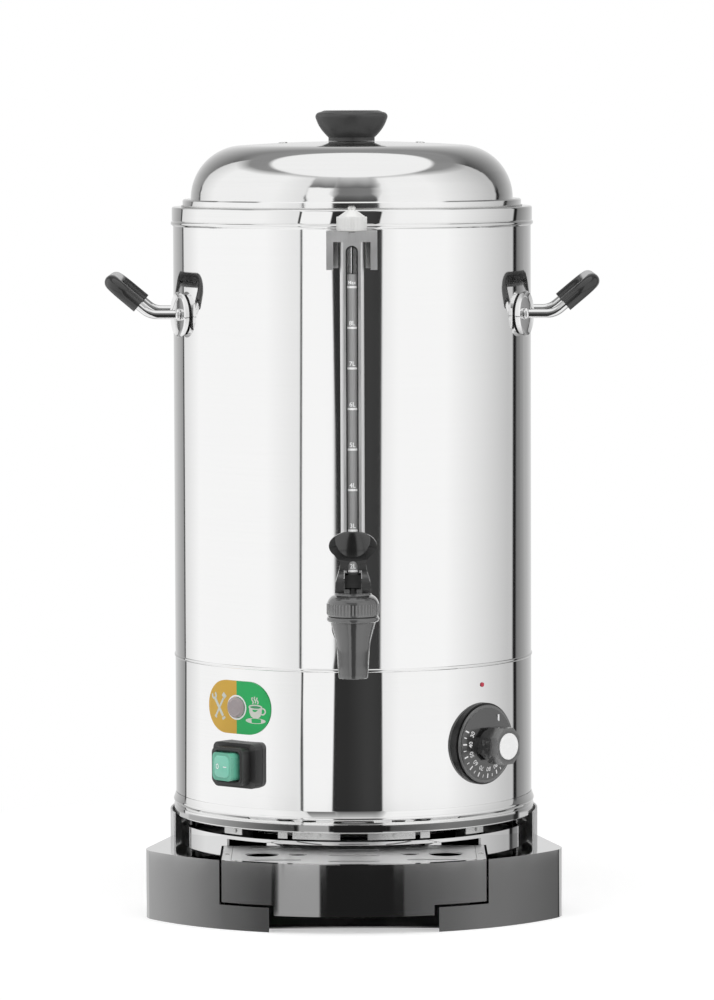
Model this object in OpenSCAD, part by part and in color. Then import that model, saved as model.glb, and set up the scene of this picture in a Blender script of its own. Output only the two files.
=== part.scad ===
// Hot water urn: a double-walled steel pot with a tap, a level gauge and two handles. It stands on
// the locating ring of a steel base, and a drip tray slides into that base below the tap.
// The origin is on the urn's axis at table level. The tap faces -Y, and +X is to the right of it.

/* [Urn body] */
// Outside diameter of the jacket and of the heater housing
jacket_d = 240; // [238:1:256]
// Space between the jacket's outside and the pot's inside
wall_gap = 10; // [9.5:0.5:17]
// Thickness of the jacket, housing and lid sheet
sheet_t = 0.8; // [0.6:0.1:1.2]
// Thickness of the pot's wall and floor
pot_t = 0.8; // [0.6:0.1:1.2]
// Height of the beaded ring at the foot of the urn
base_ring_h = 14.3; // [13:0.1:18]
// Height of the heater housing above the beaded ring
housing_h = 92.7; // [91:0.1:110]
// Height of the upper jacket
jacket_h = 288; // [270:1:330]
// Height of the rim band above the jacket
rim_h = 13; // [12:0.5:16]
// How far the rim band and the foot ring stand out from the jacket
band_out = 1; // [0.8:0.1:1.8]
// Height of the pot's floor above the housing's seam
floor_rise = 12; // [10:0.5:18]

/* [Lid] */
// How far inside the pot's wall the dome leaves its flange
dome_in = 2; // [1.5:0.5:12]
// Rise of the dome above its flange
dome_h = 38.5; // [38.5:0.5:46]
// Radius of the dome's shoulder
dome_corner = 35.5; // [28:0.5:35.5]
// Width of the pot's rim, on which the lid's flange lies
lip_w = 3.5; // [3:0.5:5]
// Height of the stepped flange
flange_h = 4; // [3:0.5:6]
// Distance of each steam vent from the axis
vent_r = 46; // [36:1:56]
// Diameter of a steam vent
vent_d = 4; // [3:0.5:6]
// Largest diameter of the lid's knob
knob_d = 48.4; // [42:0.2:56]
// Height of the lid's knob
knob_h = 20.5; // [18:0.5:26]

/* [Level gauge] */
// Distance from the jacket to the axis of the gauge tube
gauge_out = 12; // [11.5:0.1:14]
// Outside diameter of the gauge tube
tube_d = 10; // [8:0.5:11]
// Wall of the gauge tube
tube_t = 1.5; // [1:0.1:2]
// Width of the guard in front of the tube
guard_w = 15.5; // [14:0.5:19]
// Width of the guard's viewing slot
slot_w = 7.5; // [6:0.5:9]
// Width of the bracket that holds the guard's top
bracket_w = 33; // [30:1:38]
// Height of that bracket
bracket_h = 25; // [22:1:32]
// Diameter of the tube's cap nut
cap_d = 19.5; // [18:0.5:21]
// Height of the tube's cap nut
cap_h = 9; // [8:0.5:12]

/* [Tap] */
// Distance from the jacket to the axis of the spout
tap_reach = 45; // [42:1:52]
// Height of the tap's shank above the pot's floor
shank_rise = 17.5; // [15:0.5:24]
// Diameter of the threaded shank through both walls
shank_d = 16; // [14:0.5:18]
// Bore of the shank
shank_bore = 10; // [8:0.5:11]
// Bore of the spout
spout_bore = 12.4; // [11:0.2:13.4]
// Outside diameter of the spout's mouth
spout_d = 18.8; // [17.6:0.2:20]
// Drop from the shank's axis to the spout's mouth
spout_drop = 29.3; // [26:0.5:34]
// Outside diameter of the knurled bonnet
bonnet_d = 34.4; // [33:0.2:36]
// Diameter of the tap's stem
stem_d = 5.2; // [4.6:0.2:6]
// Diameter of the lever's pin
lever_pin_d = 3; // [2.6:0.2:3.6]
// Width of the lever's thumb plate
paddle_w = 30.8; // [26:0.2:34]
// Offset of the lever's cam from its pin, which sets how far the stem lifts
cam_offset = 5; // [4:0.5:6]

/* [Handles] */
// Height of the handles above the housing's seam
handle_rise = 230; // [200:1:236]
// Distance between the two legs of one handle
leg_gap = 84; // [84:1:104]
// Diameter of the handle's rod
rod_d = 6; // [5:0.5:7]
// Slope of the handle's upper part
handle_slope = 40; // [30:1:45]
// Distance from the jacket to the handle's bend
bend_out = 14.4; // [13:0.2:18]
// Length of the handle's sloping part, from its bend to its cross bar
slope_len = 33; // [30:1:38]
// Outside diameter of the plastic grip
grip_d = 10.3; // [9.5:0.1:12]
// Diameter of the dished escutcheon on each leg
escutcheon_d = 30.5; // [26:0.5:34]

/* [Controls] */
// Angle from the tap round to the dial, to the right
dial_angle = 45; // [38:1:52]
// Height of the dial's centre above the urn's foot
dial_rise = 55; // [50:0.5:60]
// Outside diameter of the dial's ring
dial_d = 54; // [50:1:60]
// Reach of the dial's grip beyond the housing
grip_h = 24; // [24:0.5:30]
// Angle from the tap round to the switch, to the left
switch_angle = 38.5; // [34:0.5:44]
// Height of the switch's centre above the urn's foot
switch_rise = 42.8; // [40:0.2:44]
// Width of the switch's flange
switch_w = 36; // [34:0.5:40]
// Height of the switch's flange
switch_h = 29.5; // [28:0.5:33]
// Angle from the tap round to the indicator plate, to the left
lamp_angle = 39.5; // [34:0.5:44]
// Height of the indicator plate's centre above the urn's foot
lamp_rise = 80.4; // [79:0.2:86]
// Length of the indicator plate round the housing
plate_w = 53.5; // [46:0.5:58]
// Height of the indicator plate
plate_h = 35; // [30:0.5:38]
// Diameter of the indicator lamp
lamp_d = 13.8; // [12:0.2:16]

/* [Base] */
// Height of the base's top plate
stand_h = 45; // [42:0.5:52]
// Thickness of the base's sheet
stand_t = 1.2; // [1:0.1:1.5]
// How far the base reaches out beyond the jacket on each side
side_out = 17; // [16:1:24]
// How far the base reaches out in front of the jacket
front_out = 54; // [48:1:60]
// Radius of the base's front
front_r = 165; // [160:1:176]
// Height of the base's back wall above its top plate
back_rise = 15; // [8:0.5:18]
// Height of the locating ring above the top plate
ring_h = 7; // [6.5:0.5:10]
// How far the locating ring lies inside the jacket's outside
ring_inset = 3; // [2:0.5:6]
// Gap between the locating ring and the urn's foot
foot_gap = 6; // [5:0.5:9]

/* [Drip tray] */
// Width of the drip tray
tray_w = 172; // [160:1:184]
// How far the drip tray reaches under the urn
tray_under = 37; // [32:1:42]
// Height of the tray's floor above the table
tray_floor_z = 18; // [16:0.5:22]
// Width of the finger opening below the tray
finger_w = 110; // [96:1:120]
// Width of each side strip beside the grille
strip_w = 6; // [5:0.5:9]
// Diameter of the grille's large holes
big_hole_d = 22; // [16:1:24]
// Diameter of the grille's small holes
small_hole_d = 12; // [8:1:14]
// Length of a drain slot
drain_len = 34; // [26:1:36]
// Width of a drain slot
drain_w = 5; // [4.5:0.1:6]

/* [Hidden] */

$fn = 96;
// Segments of a circle as wide as the jacket
wall_fn = 360;

// Clearance between pieces that lie close together
gap = 0.3;
// Radial clearance of a shaft in its bearing
run_gap = 0.05;
// Overshoot of a cutting tool past the face it cuts
over = 1;

// Levels
base_z = stand_h + ring_h + foot_gap;
housing_z = base_z + base_ring_h;
seam_z = housing_z + housing_h;
jacket_top = seam_z + jacket_h;
rim_top = jacket_top + rim_h;
floor_z = seam_z + floor_rise;
shank_z = floor_z + shank_rise;
handle_z = seam_z + handle_rise;
flange_z = rim_top + pot_t;
dome_z = flange_z + flange_h;

// Radii of the urn's walls
jacket_r = jacket_d / 2;
jacket_in = jacket_r - sheet_t;
pot_r = jacket_r - wall_gap;
pot_out = pot_r + pot_t;
lip_r = pot_out + lip_w;
band_r = jacket_r + band_out;
foot_flange_w = 12;
foot_flange_t = 1;

// Gauge and tap places
gauge_y = jacket_r + gauge_out;
guard_front = gauge_y + tube_d / 2 + 2;
guard_t = 0.8;
tap_y = jacket_r + tap_reach;
socket_top = shank_z + 22;
socket_r = tube_d / 2 + 3;
seat_z = shank_z - shank_bore / 2 - 3;
neck_r = bonnet_d / 2 - 4.2;
collar_z = shank_z + 11.2;
bonnet_top = collar_z + 14.6;
bonnet_wall = 4;
pin_z = bonnet_top + 7.7;
spout_r = spout_d / 2;

// Base outline
stand_w = jacket_r + side_out;
front_y = jacket_r + front_out;
front_cy = front_r - front_y;
back_r = jacket_r + 4;
ring_r = jacket_r - ring_inset;
ring_in = ring_r - 23;
tray_gap = 1.5;
tray_back = jacket_r - tray_under;
tray_open = tray_w + 2 * tray_gap;
grille_t = 1;

// A rectangle with round corners, centred
module rounded(w, h, r) {
    square([w - 2 * r, h], center = true);
    square([w, h - 2 * r], center = true);
    for (x = [-1, 1], y = [-1, 1])
        translate([x * (w / 2 - r), y * (h / 2 - r)]) circle(r);
}

// A slot with round ends along x, centred
module slot(length, width) {
    square([length - width, width], center = true);
    for (x = [-1, 1]) translate([x * (length - width) / 2, 0]) circle(d = width);
}

// A tube standing on z = 0
module tube(outer_r, inner_r, h) {
    difference() {
        cylinder(r = outer_r, h = h);
        translate([0, 0, -over]) cylinder(r = inner_r, h = h + 2 * over);
    }
}

// Points of an arc, from one angle to another
function arc(cx, cy, r, from, to, steps) =
    [for (i = [0:steps]) let (a = from + (to - from) * i / steps) [cx + r * cos(a), cy + r * sin(a)]];

// Puts a piece on the jacket: its x runs round the wall, its y is up and its z points outwards
module on_wall(angle, z, r = jacket_r) {
    rotate([0, 0, angle]) translate([0, -r, z]) rotate([90, 0, 0]) children();
}

// The round space inside one radius, for pieces that seat on the jacket's curve
module within(r) {
    cylinder(r = r, h = dome_z, $fn = wall_fn);
}

// ---- Base ----

// The base is drawn from three arcs a side: the front, the corner and the back, and a straight
// side that touches the corner and ends on the back
corner_r = 22;
shoulder_x = back_r - 3;
shoulder_y = -sqrt(back_r * back_r - shoulder_x * shoulder_x);
corner_x = stand_w - corner_r;
corner_y = front_cy - sqrt(pow(front_r - corner_r, 2) - pow(corner_x, 2));
to_shoulder = [shoulder_x - corner_x, shoulder_y - corner_y];
side_turn = atan2(to_shoulder[1], to_shoulder[0]) - acos(corner_r / norm(to_shoulder));
front_turn = atan2(corner_y - front_cy, corner_x);

// Where the straight side meets the back, when both are moved inwards
function shoulder(inset) = let (
    k = cos(side_turn) * corner_x + sin(side_turn) * corner_y + corner_r - inset,
    m = sqrt(pow(back_r - inset, 2) - k * k))
    [k * cos(side_turn) + m * sin(side_turn), k * sin(side_turn) - m * cos(side_turn)];

// The base's outline, moved inwards by one distance all round
module stand_outline(inset) {
    s = shoulder(inset);
    start = atan2(s[1], s[0]);
    polygon(concat(
        arc(0, front_cy, front_r - inset, -180 - front_turn, front_turn, 48),
        arc(corner_x, corner_y, corner_r - inset, front_turn, side_turn, 10),
        arc(0, 0, back_r - inset, start, 180 - start, 60),
        arc(-corner_x, corner_y, corner_r - inset, 180 - side_turn, 180 - front_turn, 10)));
}

// The part of the plan that the drip tray takes up
module tray_plan(width, back) {
    translate([-width / 2, -front_y - over]) square([width, front_y + over - back]);
}

lip_h = tray_floor_z - 2;

// The back wall starts where the sides' inner faces meet its inner face
back_start = shoulder(stand_t)[1];

module stand_shell() {
    color("silver") {
        difference() {
            linear_extrude(stand_h) difference() {
                stand_outline(0);
                stand_outline(stand_t);
                translate([-stand_w, back_start]) square([2 * stand_w, 2 * back_r]);
            }
            translate([-tray_open / 2, -front_y - over, lip_h])
                cube([tray_open, front_y - tray_back, stand_h]);
            translate([-finger_w / 2, -front_y - over, -over])
                cube([finger_w, front_y - tray_back, stand_h]);
        }
        translate([0, 0, stand_h - stand_t]) linear_extrude(stand_t) difference() {
            stand_outline(stand_t);
            tray_plan(tray_open, tray_back - tray_gap);
        }
    }
}

module stand_back() {
    color("silver") linear_extrude(stand_h + back_rise) difference() {
        circle(back_r);
        circle(back_r - stand_t);
        translate([-back_r - over, -back_r - over])
            square([2 * back_r + 2 * over, back_r + over + back_start]);
    }
}

finger_depth = 25;

module stand_floor() {
    color("silver") linear_extrude(stand_t) difference() {
        stand_outline(stand_t);
        translate([-finger_w / 2, -front_y - over]) square([finger_w, finger_depth + over]);
    }
}

ring_t = 1;
tray_pass = 4.7;

module stand_ring() {
    color("silver") translate([0, 0, stand_h]) difference() {
        union() {
            tube(ring_r, ring_r - ring_t, ring_h);
            tube(ring_in + ring_t, ring_in, ring_h);
            translate([0, 0, ring_h - ring_t]) tube(ring_r, ring_in, ring_t);
        }
        translate([-tray_open / 2, -ring_r - over, -over])
            cube([tray_open, ring_r + over - tray_back + tray_gap, tray_pass + over]);
    }
}

pan_t = 1;
pan_side = 1.5;
pan_w = tray_w - 2 * pan_side;
runner_w = 9;
// How far the runners stay clear of the tray's front and back
runner_front = 32;
runner_back = 2;

module tray_runners() {
    color("silver") for (s = [-1, 1])
        translate([s * (pan_w - runner_w) / 2 - runner_w / 2, runner_front - front_y, stand_t])
            cube([runner_w, front_y - runner_front - runner_back - tray_back, tray_floor_z - stand_t]);
}

// ---- Drip tray ----

// The plan of the drip tray, shrunk from the base's front and from its own sides and back
module tray_outline(width, front_in, back) {
    intersection() {
        translate([0, front_cy]) circle(front_r - front_in, $fn = 240);
        translate([-width / 2, -front_y]) square([width, front_y - back]);
    }
}

front_lip = 4.5;
ledge_w = 10;
ledge_end = 4;
tray_skirt = 11;
tray_side_z = lip_h + 1.7;
// Width of the part of the tray's front that hangs down behind the finger opening
skirt_w = finger_w - 6;
// The pan's sheets end inside the front plate's thickness
pan_front = stand_t / 2;

module tray_pan() {
    top = stand_h - grille_t;
    color("silver") {
        translate([0, 0, tray_floor_z]) linear_extrude(pan_t) tray_outline(pan_w, pan_front, tray_back);
        translate([0, 0, tray_floor_z]) linear_extrude(top - tray_floor_z) difference() {
            tray_outline(pan_w, pan_front, tray_back);
            tray_outline(pan_w - 2 * pan_t, pan_front - over, tray_back + pan_t);
        }
        difference() {
            translate([0, 0, tray_skirt]) linear_extrude(stand_h - tray_skirt) difference() {
                tray_outline(tray_w, 0, tray_back + front_lip);
                tray_outline(tray_w + over, stand_t, 0);
            }
            for (s = [-1, 1]) translate([s * (skirt_w + tray_w) / 2, -front_y / 2, 0])
                cube([tray_w, front_y, 2 * tray_side_z], center = true);
        }
        translate([0, 0, top - pan_t]) linear_extrude(pan_t + grille_t) difference() {
            tray_outline(grille_w, pan_front, tray_back);
            tray_outline(tray_w, front_lip, 0);
        }
        translate([0, 0, top - pan_t]) linear_extrude(pan_t) difference() {
            tray_outline(pan_w, pan_front, tray_back);
            tray_outline(pan_w - 2 * ledge_w, front_lip + ledge_end, tray_back + ledge_end);
        }
    }
}

module tray_strips() {
    color("silver") translate([0, 0, stand_h - grille_t]) linear_extrude(grille_t) difference() {
        tray_outline(tray_w, stand_t, tray_back);
        square([tray_w - 2 * strip_w, 4 * front_y], center = true);
    }
}

// A low round head in two steps, standing on z = 0
module rivet(d) {
    cylinder(d = d, h = 0.5, $fn = 32);
    translate([0, 0, 0.5]) cylinder(d = d - 1, h = 0.3, $fn = 32);
}

rivet_d = 3.2;

module tray_rivets() {
    color("gainsboro") for (s = [-1, 1])
        translate([s * (tray_w - strip_w) / 2, -row_mid - 1, stand_h]) rivet(rivet_d);
}

grille_w = tray_w - 2 * strip_w - 2 * gap;
side_hole_x = 60;
small_hole_x = 36.6;
side_slot_x = 51;
row_mid = jacket_r + 3;
row_step = 26.5;

module drip_grille() {
    color("silver") translate([0, 0, stand_h - grille_t]) linear_extrude(grille_t) difference() {
        tray_outline(grille_w, front_lip + gap, tray_back + gap);
        for (s = [-1, 1]) {
            translate([s * side_hole_x, -row_mid]) circle(d = big_hole_d);
            translate([s * small_hole_x, -row_mid]) circle(d = small_hole_d);
            for (row = [-1, 1])
                translate([s * side_slot_x, -row_mid + row * row_step]) slot(drain_len, drain_w);
        }
        for (row = [-1, 0, 1]) translate([0, -row_mid - 7 + row * row_step]) slot(drain_len, drain_w);
    }
}

// ---- Foot of the urn ----

module base_ring() {
    h = base_ring_h;
    out = band_r;
    color("silver") translate([0, 0, base_z]) rotate_extrude($fn = 180) polygon(concat(
        [[jacket_in - foot_flange_w, 0], [out - 0.4, 0]],
        arc(out - 0.6, 0.6, 0.6, 270, 360, 3), [[out, h * 0.42], [out - 1, h * 0.45]],
        arc(out - 1.6, h * 0.66, 1.9, -40, 40, 6), [[jacket_r, h], [jacket_in - gap, h],
        [jacket_in - gap, h + 6], [jacket_in - gap - sheet_t, h + 6],
        [jacket_in - gap - sheet_t, foot_flange_t], [jacket_in - foot_flange_w, foot_flange_t]]));
}

plate_z = base_z + foot_flange_t;
plate_t = 1;
plate_in = 4;

module base_plate() {
    color("silver") translate([0, 0, plate_z]) cylinder(r = jacket_in - plate_in, h = plate_t);
}

// Centre angle and width of each lug round the front half, and the back half repeats them
lugs = [[-75, 6], [-44, 8], [-24, 3.4], [-12.5, 16], [12.5, 16], [24, 3.4], [44, 8], [75, 6]];
lug_clear = 1;
lug_h = foot_gap - lug_clear;
lug_t = 1;
lug_r = jacket_in - plate_in;

module base_lugs() {
    color("gainsboro") for (side = [0, 180], lug = lugs) rotate([0, 0, side + 270 + lug[0] - lug[1] / 2])
        translate([0, 0, base_z - lug_h]) rotate_extrude(angle = lug[1])
            translate([lug_r - lug_t, 0]) square([lug_t, lug_h]);
}

module base_screws() {
    color("gainsboro") for (side = [0, 180], a = [-44, -12.5, 12.5, 44])
        rotate([0, 0, side]) on_wall(a + 1, base_z - lug_h / 2, lug_r) rivet(rivet_d);
}

urn_foot_r = 8;
urn_foot_ring = ring_r - 12;

module urn_feet() {
    color("dimgray") for (a = [45:90:315]) rotate([0, 0, a]) translate([urn_foot_ring, 0, base_z - foot_gap])
        cylinder(r1 = urn_foot_r - 1, r2 = urn_foot_r, h = foot_gap);
}

// ---- Walls ----

dial_bore = 10;
lamp_bore = lamp_d - 4;
switch_cut = 22;
inlet_angle = 180;
inlet_rise = 46;
inlet_w = 27;
inlet_h = 20;

module heater_housing() {
    color("silver") difference() {
        rotate_extrude($fn = 180) polygon([
            [jacket_in, housing_z + gap], [jacket_r, housing_z + gap], [jacket_r, seam_z - gap],
            [jacket_in - gap, seam_z - gap], [jacket_in - gap, seam_z + 8],
            [jacket_in - gap - sheet_t, seam_z + 8], [jacket_in - gap - sheet_t, seam_z - 6],
            [jacket_in, seam_z - 6]]);
        on_wall(dial_angle, base_z + dial_rise) cylinder(d = dial_bore, h = 40, center = true);
        on_wall(-lamp_angle, base_z + lamp_rise) cylinder(d = lamp_bore, h = 40, center = true);
        on_wall(-switch_angle, base_z + switch_rise) cube([switch_cut, switch_cut, 40], center = true);
        on_wall(inlet_angle, base_z + inlet_rise) cube([inlet_w, inlet_h, 40], center = true);
    }
}

leg_x = sqrt(jacket_r * jacket_r - leg_gap * leg_gap / 4);
leg_angle = asin(leg_gap / 2 / jacket_r);
tap_hole_r = shank_d / 2 + gap;

module outer_jacket() {
    color("silver") difference() {
        translate([0, 0, seam_z]) tube(jacket_r, jacket_in, jacket_h + 5, $fn = 180);
        on_wall(0, shank_z) cylinder(r = tap_hole_r, h = 60, center = true);
        for (s = [-1, 1], t = [-1, 1]) translate([s * leg_x, t * leg_gap / 2, handle_z])
            rotate([0, 90, 0]) cylinder(d = rod_d + 2 * gap, h = 30, center = true);
    }
}

module rim_band() {
    h = rim_h;
    out = band_r;
    t = sheet_t;
    color("silver") translate([0, 0, jacket_top]) rotate_extrude($fn = 180) polygon(concat(
        [[jacket_r + gap, 0]], arc(out - 1, 1.9, 1.6, -70, 70, 6), [[out - 0.2, 4], [out - 0.2, h - 1.6]],
        arc(out - 1.4, h - 1.3, 1.2, 0, 90, 4), [[pot_out + gap, h - 0.1], [pot_out + gap, h - 0.1 - t],
        [out - 2, h - 0.1 - t], [out - 2 + t / 2, h - 2], [jacket_r + gap, h - 3]]));
}

module inner_pot() {
    color("gainsboro") difference() {
        rotate_extrude($fn = 180) polygon([
            [pot_r, floor_z - pot_t], [pot_out, floor_z - pot_t], [pot_out, rim_top], [lip_r, rim_top],
            [lip_r, flange_z], [pot_r, flange_z]]);
        on_wall(0, shank_z) cylinder(r = tap_hole_r, h = 60, center = true);
    }
}

// The pot's floor is a disc, welded in flush with the foot of the wall
module pot_floor() {
    color("gainsboro") translate([0, 0, floor_z - pot_t])
        cylinder(r = pot_r - run_gap, h = pot_t, $fn = wall_fn);
}

// ---- Inside the heater housing ----

element_r = 62;
element_d = 6.6;
element_z = floor_z - pot_t - gap - element_d / 2;
element_leg = 20;
element_lead = 8;
element_lead_d = 2.4;

module heating_element() {
    color("dimgray") {
        translate([0, 0, element_z]) rotate([0, 0, 285]) rotate_extrude(angle = 330)
            translate([element_r, 0]) circle(d = element_d, $fn = 32);
        for (a = [285, 255]) rotate([0, 0, a]) translate([element_r, 0, element_z - element_leg]) {
            cylinder(d = element_d, h = element_leg, $fn = 32);
            translate([0, 0, -element_lead]) cylinder(d = element_lead_d, h = element_lead, $fn = 32);
        }
    }
}

clamp_w = 25;

module element_clamps() {
    low = element_z - element_d / 2 - gap;
    color("silver") for (a = [0, 90, 180]) rotate([0, 0, a]) translate([element_r, 0, low]) {
        translate([0, 0, -1]) cube([clamp_w, 10, 2], center = true);
        for (s = [-1, 1]) translate([s * (clamp_w / 2 - 4), 0, -0.5])
            cylinder(d = 4, h = floor_z - pot_t - low + 0.5, $fn = 32);
    }
}

cutout_d = 17;

module thermal_cutout() {
    color("dimgray") translate([0, 0, floor_z - pot_t - gap - 9]) {
        cylinder(d = cutout_d, h = 9);
        for (s = [-1, 1]) translate([s * 5, 0, -3]) cube([1, 6, 7], center = true);
    }
}

thermo_in = 3;
thermo_size = 30;
thermo_depth = 20;
thermo_bore = 12;

module thermostat() {
    color("ivory") on_wall(dial_angle, base_z + dial_rise) difference() {
        union() {
            translate([0, 0, -thermo_in - thermo_depth / 2])
                cube([thermo_size, thermo_size, thermo_depth], center = true);
            translate([0, 0, -thermo_in]) cylinder(d = dial_bore - 2 * gap, h = thermo_in + 1.5);
        }
        translate([0, 0, -thermo_in - thermo_bore]) cylinder(d = spindle_d + 2 * run_gap, h = 40);
    }
}

bulb_d = 6;
bulb_r = 33;
bulb_len = 40;
capillary_d = 2;

module sensor_bulb() {
    bulb_z = floor_z - pot_t - gap - bulb_d / 2;
    low = element_z - 16;
    box_top = base_z + dial_rise + thermo_size / 2;
    near = bulb_r + bulb_len / 2 - 2;
    far = jacket_r - thermo_in - thermo_depth / 2;
    color("goldenrod") rotate([0, 0, dial_angle - 90]) {
        translate([bulb_r, 0, bulb_z]) rotate([0, 90, 0]) cylinder(d = bulb_d, h = bulb_len, center = true);
        translate([near, 0, low]) cylinder(d = capillary_d, h = bulb_z - low, $fn = 24);
        translate([near, 0, low]) sphere(d = capillary_d, $fn = 24);
        translate([near, 0, low]) rotate([0, 90, 0]) cylinder(d = capillary_d, h = far - near, $fn = 24);
        translate([far, 0, low]) sphere(d = capillary_d, $fn = 24);
        translate([far, 0, box_top]) cylinder(d = capillary_d, h = low - box_top, $fn = 24);
    }
}

block_y = 58;
block_w = 52;
block_d = 18;
block_h = 17;
block_pitch = 17;
block_hole_d = 4;
block_screw_d = 6;
block_screw_h = 1.2;

module terminal_block() {
    color("ivory") translate([0, block_y, plate_z + plate_t]) {
        difference() {
            translate([-block_w / 2, -block_d / 2, 0]) cube([block_w, block_d, block_h]);
            for (i = [-1:1]) translate([i * block_pitch, 0, block_h * 0.65]) rotate([90, 0, 0])
                cylinder(d = block_hole_d, h = 2 * block_d, center = true, $fn = 32);
        }
        for (i = [-1:1]) translate([i * block_pitch, 0, block_h])
            cylinder(d = block_screw_d, h = block_screw_h, $fn = 32);
    }
}

inlet_depth = 24;
inlet_wall = 2;
inlet_top = 3.2;

module mains_inlet() {
    z = base_z + inlet_rise;
    w = inlet_w - 2 * gap;
    h = inlet_h - 2 * gap;
    color("dimgray") difference() {
        union() {
            on_wall(inlet_angle, z) translate([0, 0, -inlet_depth]) linear_extrude(inlet_depth + inlet_top)
                square([w, h], center = true);
            difference() {
                on_wall(inlet_angle, z) translate([0, 0, -3]) linear_extrude(inlet_top + 3)
                    rounded(inlet_w + 12, inlet_h + 8, 3);
                within(jacket_r + gap / 2);
            }
        }
        on_wall(inlet_angle, z) translate([0, 0, -inlet_depth + inlet_wall]) linear_extrude(2 * inlet_depth)
            rounded(w - 2 * inlet_wall, h - 2 * inlet_wall, 1.2);
    }
}

module inlet_pins() {
    color("goldenrod") on_wall(inlet_angle, base_z + inlet_rise) for (p = [[-7, -2], [0, 2], [7, -2]])
        translate([p[0] - 1, p[1] - 2, inlet_wall - inlet_depth]) cube([2, 4, inlet_depth - inlet_wall - 5]);
}

// ---- Switch and lamp ----

switch_top = 6;
frame_w = 27;
frame_h = 24.5;
frame_top = 13;
frame_wall = 3;
button_w = 18.6;
button_h = 18.4;
button_top = 17.5;
rocker_pin_d = 2.4;
rocker_pin_n = 9;
rocker_tilt = 9;
switch_depth = 26;

module switch_body() {
    z = base_z + switch_rise;
    color("dimgray") difference() {
        union() {
            difference() {
                on_wall(-switch_angle, z) translate([0, 0, -3]) linear_extrude(switch_top + 3)
                    rounded(switch_w, switch_h, 4);
                within(jacket_r + gap / 2);
            }
            on_wall(-switch_angle, z) {
                translate([0, 0, 2]) linear_extrude(frame_top - 2) rounded(frame_w, frame_h, 4);
                translate([0, 0, -switch_depth]) linear_extrude(switch_depth + 2)
                    square(switch_cut - 2 * gap, center = true);
            }
        }
        on_wall(-switch_angle, z) {
            translate([0, 0, 3]) linear_extrude(frame_top)
                rounded(frame_w - 2 * frame_wall, frame_h - 2 * frame_wall + 1, 2);
            translate([0, 0, rocker_pin_n]) rotate([90, 0, 0])
                cylinder(d = rocker_pin_d + 2 * run_gap, h = frame_h - 2, center = true);
        }
    }
}

module switch_rocker() {
    color("mediumseagreen") on_wall(-switch_angle, base_z + switch_rise)
        translate([0, 0, rocker_pin_n]) rotate([0, -rocker_tilt, 0]) {
            translate([0, 0, -2]) linear_extrude(button_top - rocker_pin_n + 2)
                rounded(button_w, button_h, 3.4);
            rotate([90, 0, 0]) cylinder(d = rocker_pin_d, h = frame_h - 2 - 2 * gap, center = true);
        }
}

indicator_t = 0.8;

module indicator_plate() {
    color("orange") intersection() {
        difference() {
            within(jacket_r + gap / 2 + indicator_t);
            translate([0, 0, -over]) cylinder(r = jacket_r + gap / 2, h = dome_z + 2 * over, $fn = wall_fn);
        }
        on_wall(-lamp_angle, base_z + lamp_rise) difference() {
            translate([0, 0, -15]) linear_extrude(30) rounded(plate_chord, plate_h, plate_h / 2 - 0.5);
            cylinder(d = lamp_bore, h = 40, center = true);
        }
    }
}

plate_chord = 2 * jacket_r * sin(plate_w / jacket_r * 90 / PI);
lamp_seat = indicator_t + gap;

module indicator_lamp() {
    color("white") on_wall(-lamp_angle, base_z + lamp_rise) {
        translate([0, 0, lamp_seat]) cylinder(d = lamp_d, h = 1.2);
        translate([0, 0, lamp_seat + 1.2]) cylinder(d1 = lamp_d, d2 = lamp_d - 3, h = 1);
    }
}

module lamp_body() {
    color("ivory") on_wall(-lamp_angle, base_z + lamp_rise) {
        translate([0, 0, -20]) cylinder(d = lamp_bore - 2 * gap, h = 20 + lamp_seat);
        translate([0, 0, -sheet_t - gap - 3.2]) cylinder(d = lamp_bore + 4, h = 3);
    }
}

// ---- Dial ----

spindle_d = 6;
ring_face = 2;
skirt_d = dial_d - 5;
skirt_n = ring_face + gap;
skirt_t = 1.7;
skirt_rise = 2.6;
hub_d = 20;
octagon_w = 21;
octagon_h = 24;
octagon_cut = 6;
octagon_n = 10.5;
nose_w = 8;
nose_h = 10.6;
dial_cap_d = 17.4;
dial_cap_t = 1.6;

module dial_ring() {
    color("black") difference() {
        on_wall(dial_angle, base_z + dial_rise) difference() {
            translate([0, 0, -4]) cylinder(d = dial_d, h = 4 + ring_face);
            translate([0, 0, -6]) cylinder(d = dial_bore + 6, h = 40);
        }
        within(jacket_r + gap / 2);
    }
}

// The grip's outline: a tall octagon
module octagon(w, h, cut) {
    polygon([[w / 2, h / 2 - cut], [w / 2 - cut, h / 2], [cut - w / 2, h / 2], [-w / 2, h / 2 - cut],
        [-w / 2, cut - h / 2], [cut - w / 2, -h / 2], [w / 2 - cut, -h / 2], [w / 2, cut - h / 2]]);
}

module dial_knob() {
    color("dimgray") on_wall(dial_angle, base_z + dial_rise) difference() {
        union() {
            translate([0, 0, skirt_n]) cylinder(d = skirt_d, h = skirt_t);
            translate([0, 0, skirt_n + skirt_t]) cylinder(d1 = skirt_d - 1, d2 = hub_d, h = skirt_rise);
            translate([0, 0, skirt_n + skirt_t]) cylinder(d = hub_d, h = octagon_n - skirt_n);
            translate([0, 0, octagon_n]) linear_extrude(grip_h - octagon_n)
                octagon(octagon_w, octagon_h, octagon_cut);
            translate([-octagon_w / 2, -nose_h / 2, skirt_n + skirt_t])
                cube([nose_w, nose_h, octagon_n - skirt_n]);
        }
        translate([0, 0, -over]) cylinder(d = spindle_d + 0.06, h = grip_h - 4);
        translate([0, 0, grip_h - 1.2]) cylinder(d = dial_cap_d + 0.2, h = 3);
    }
}

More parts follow.
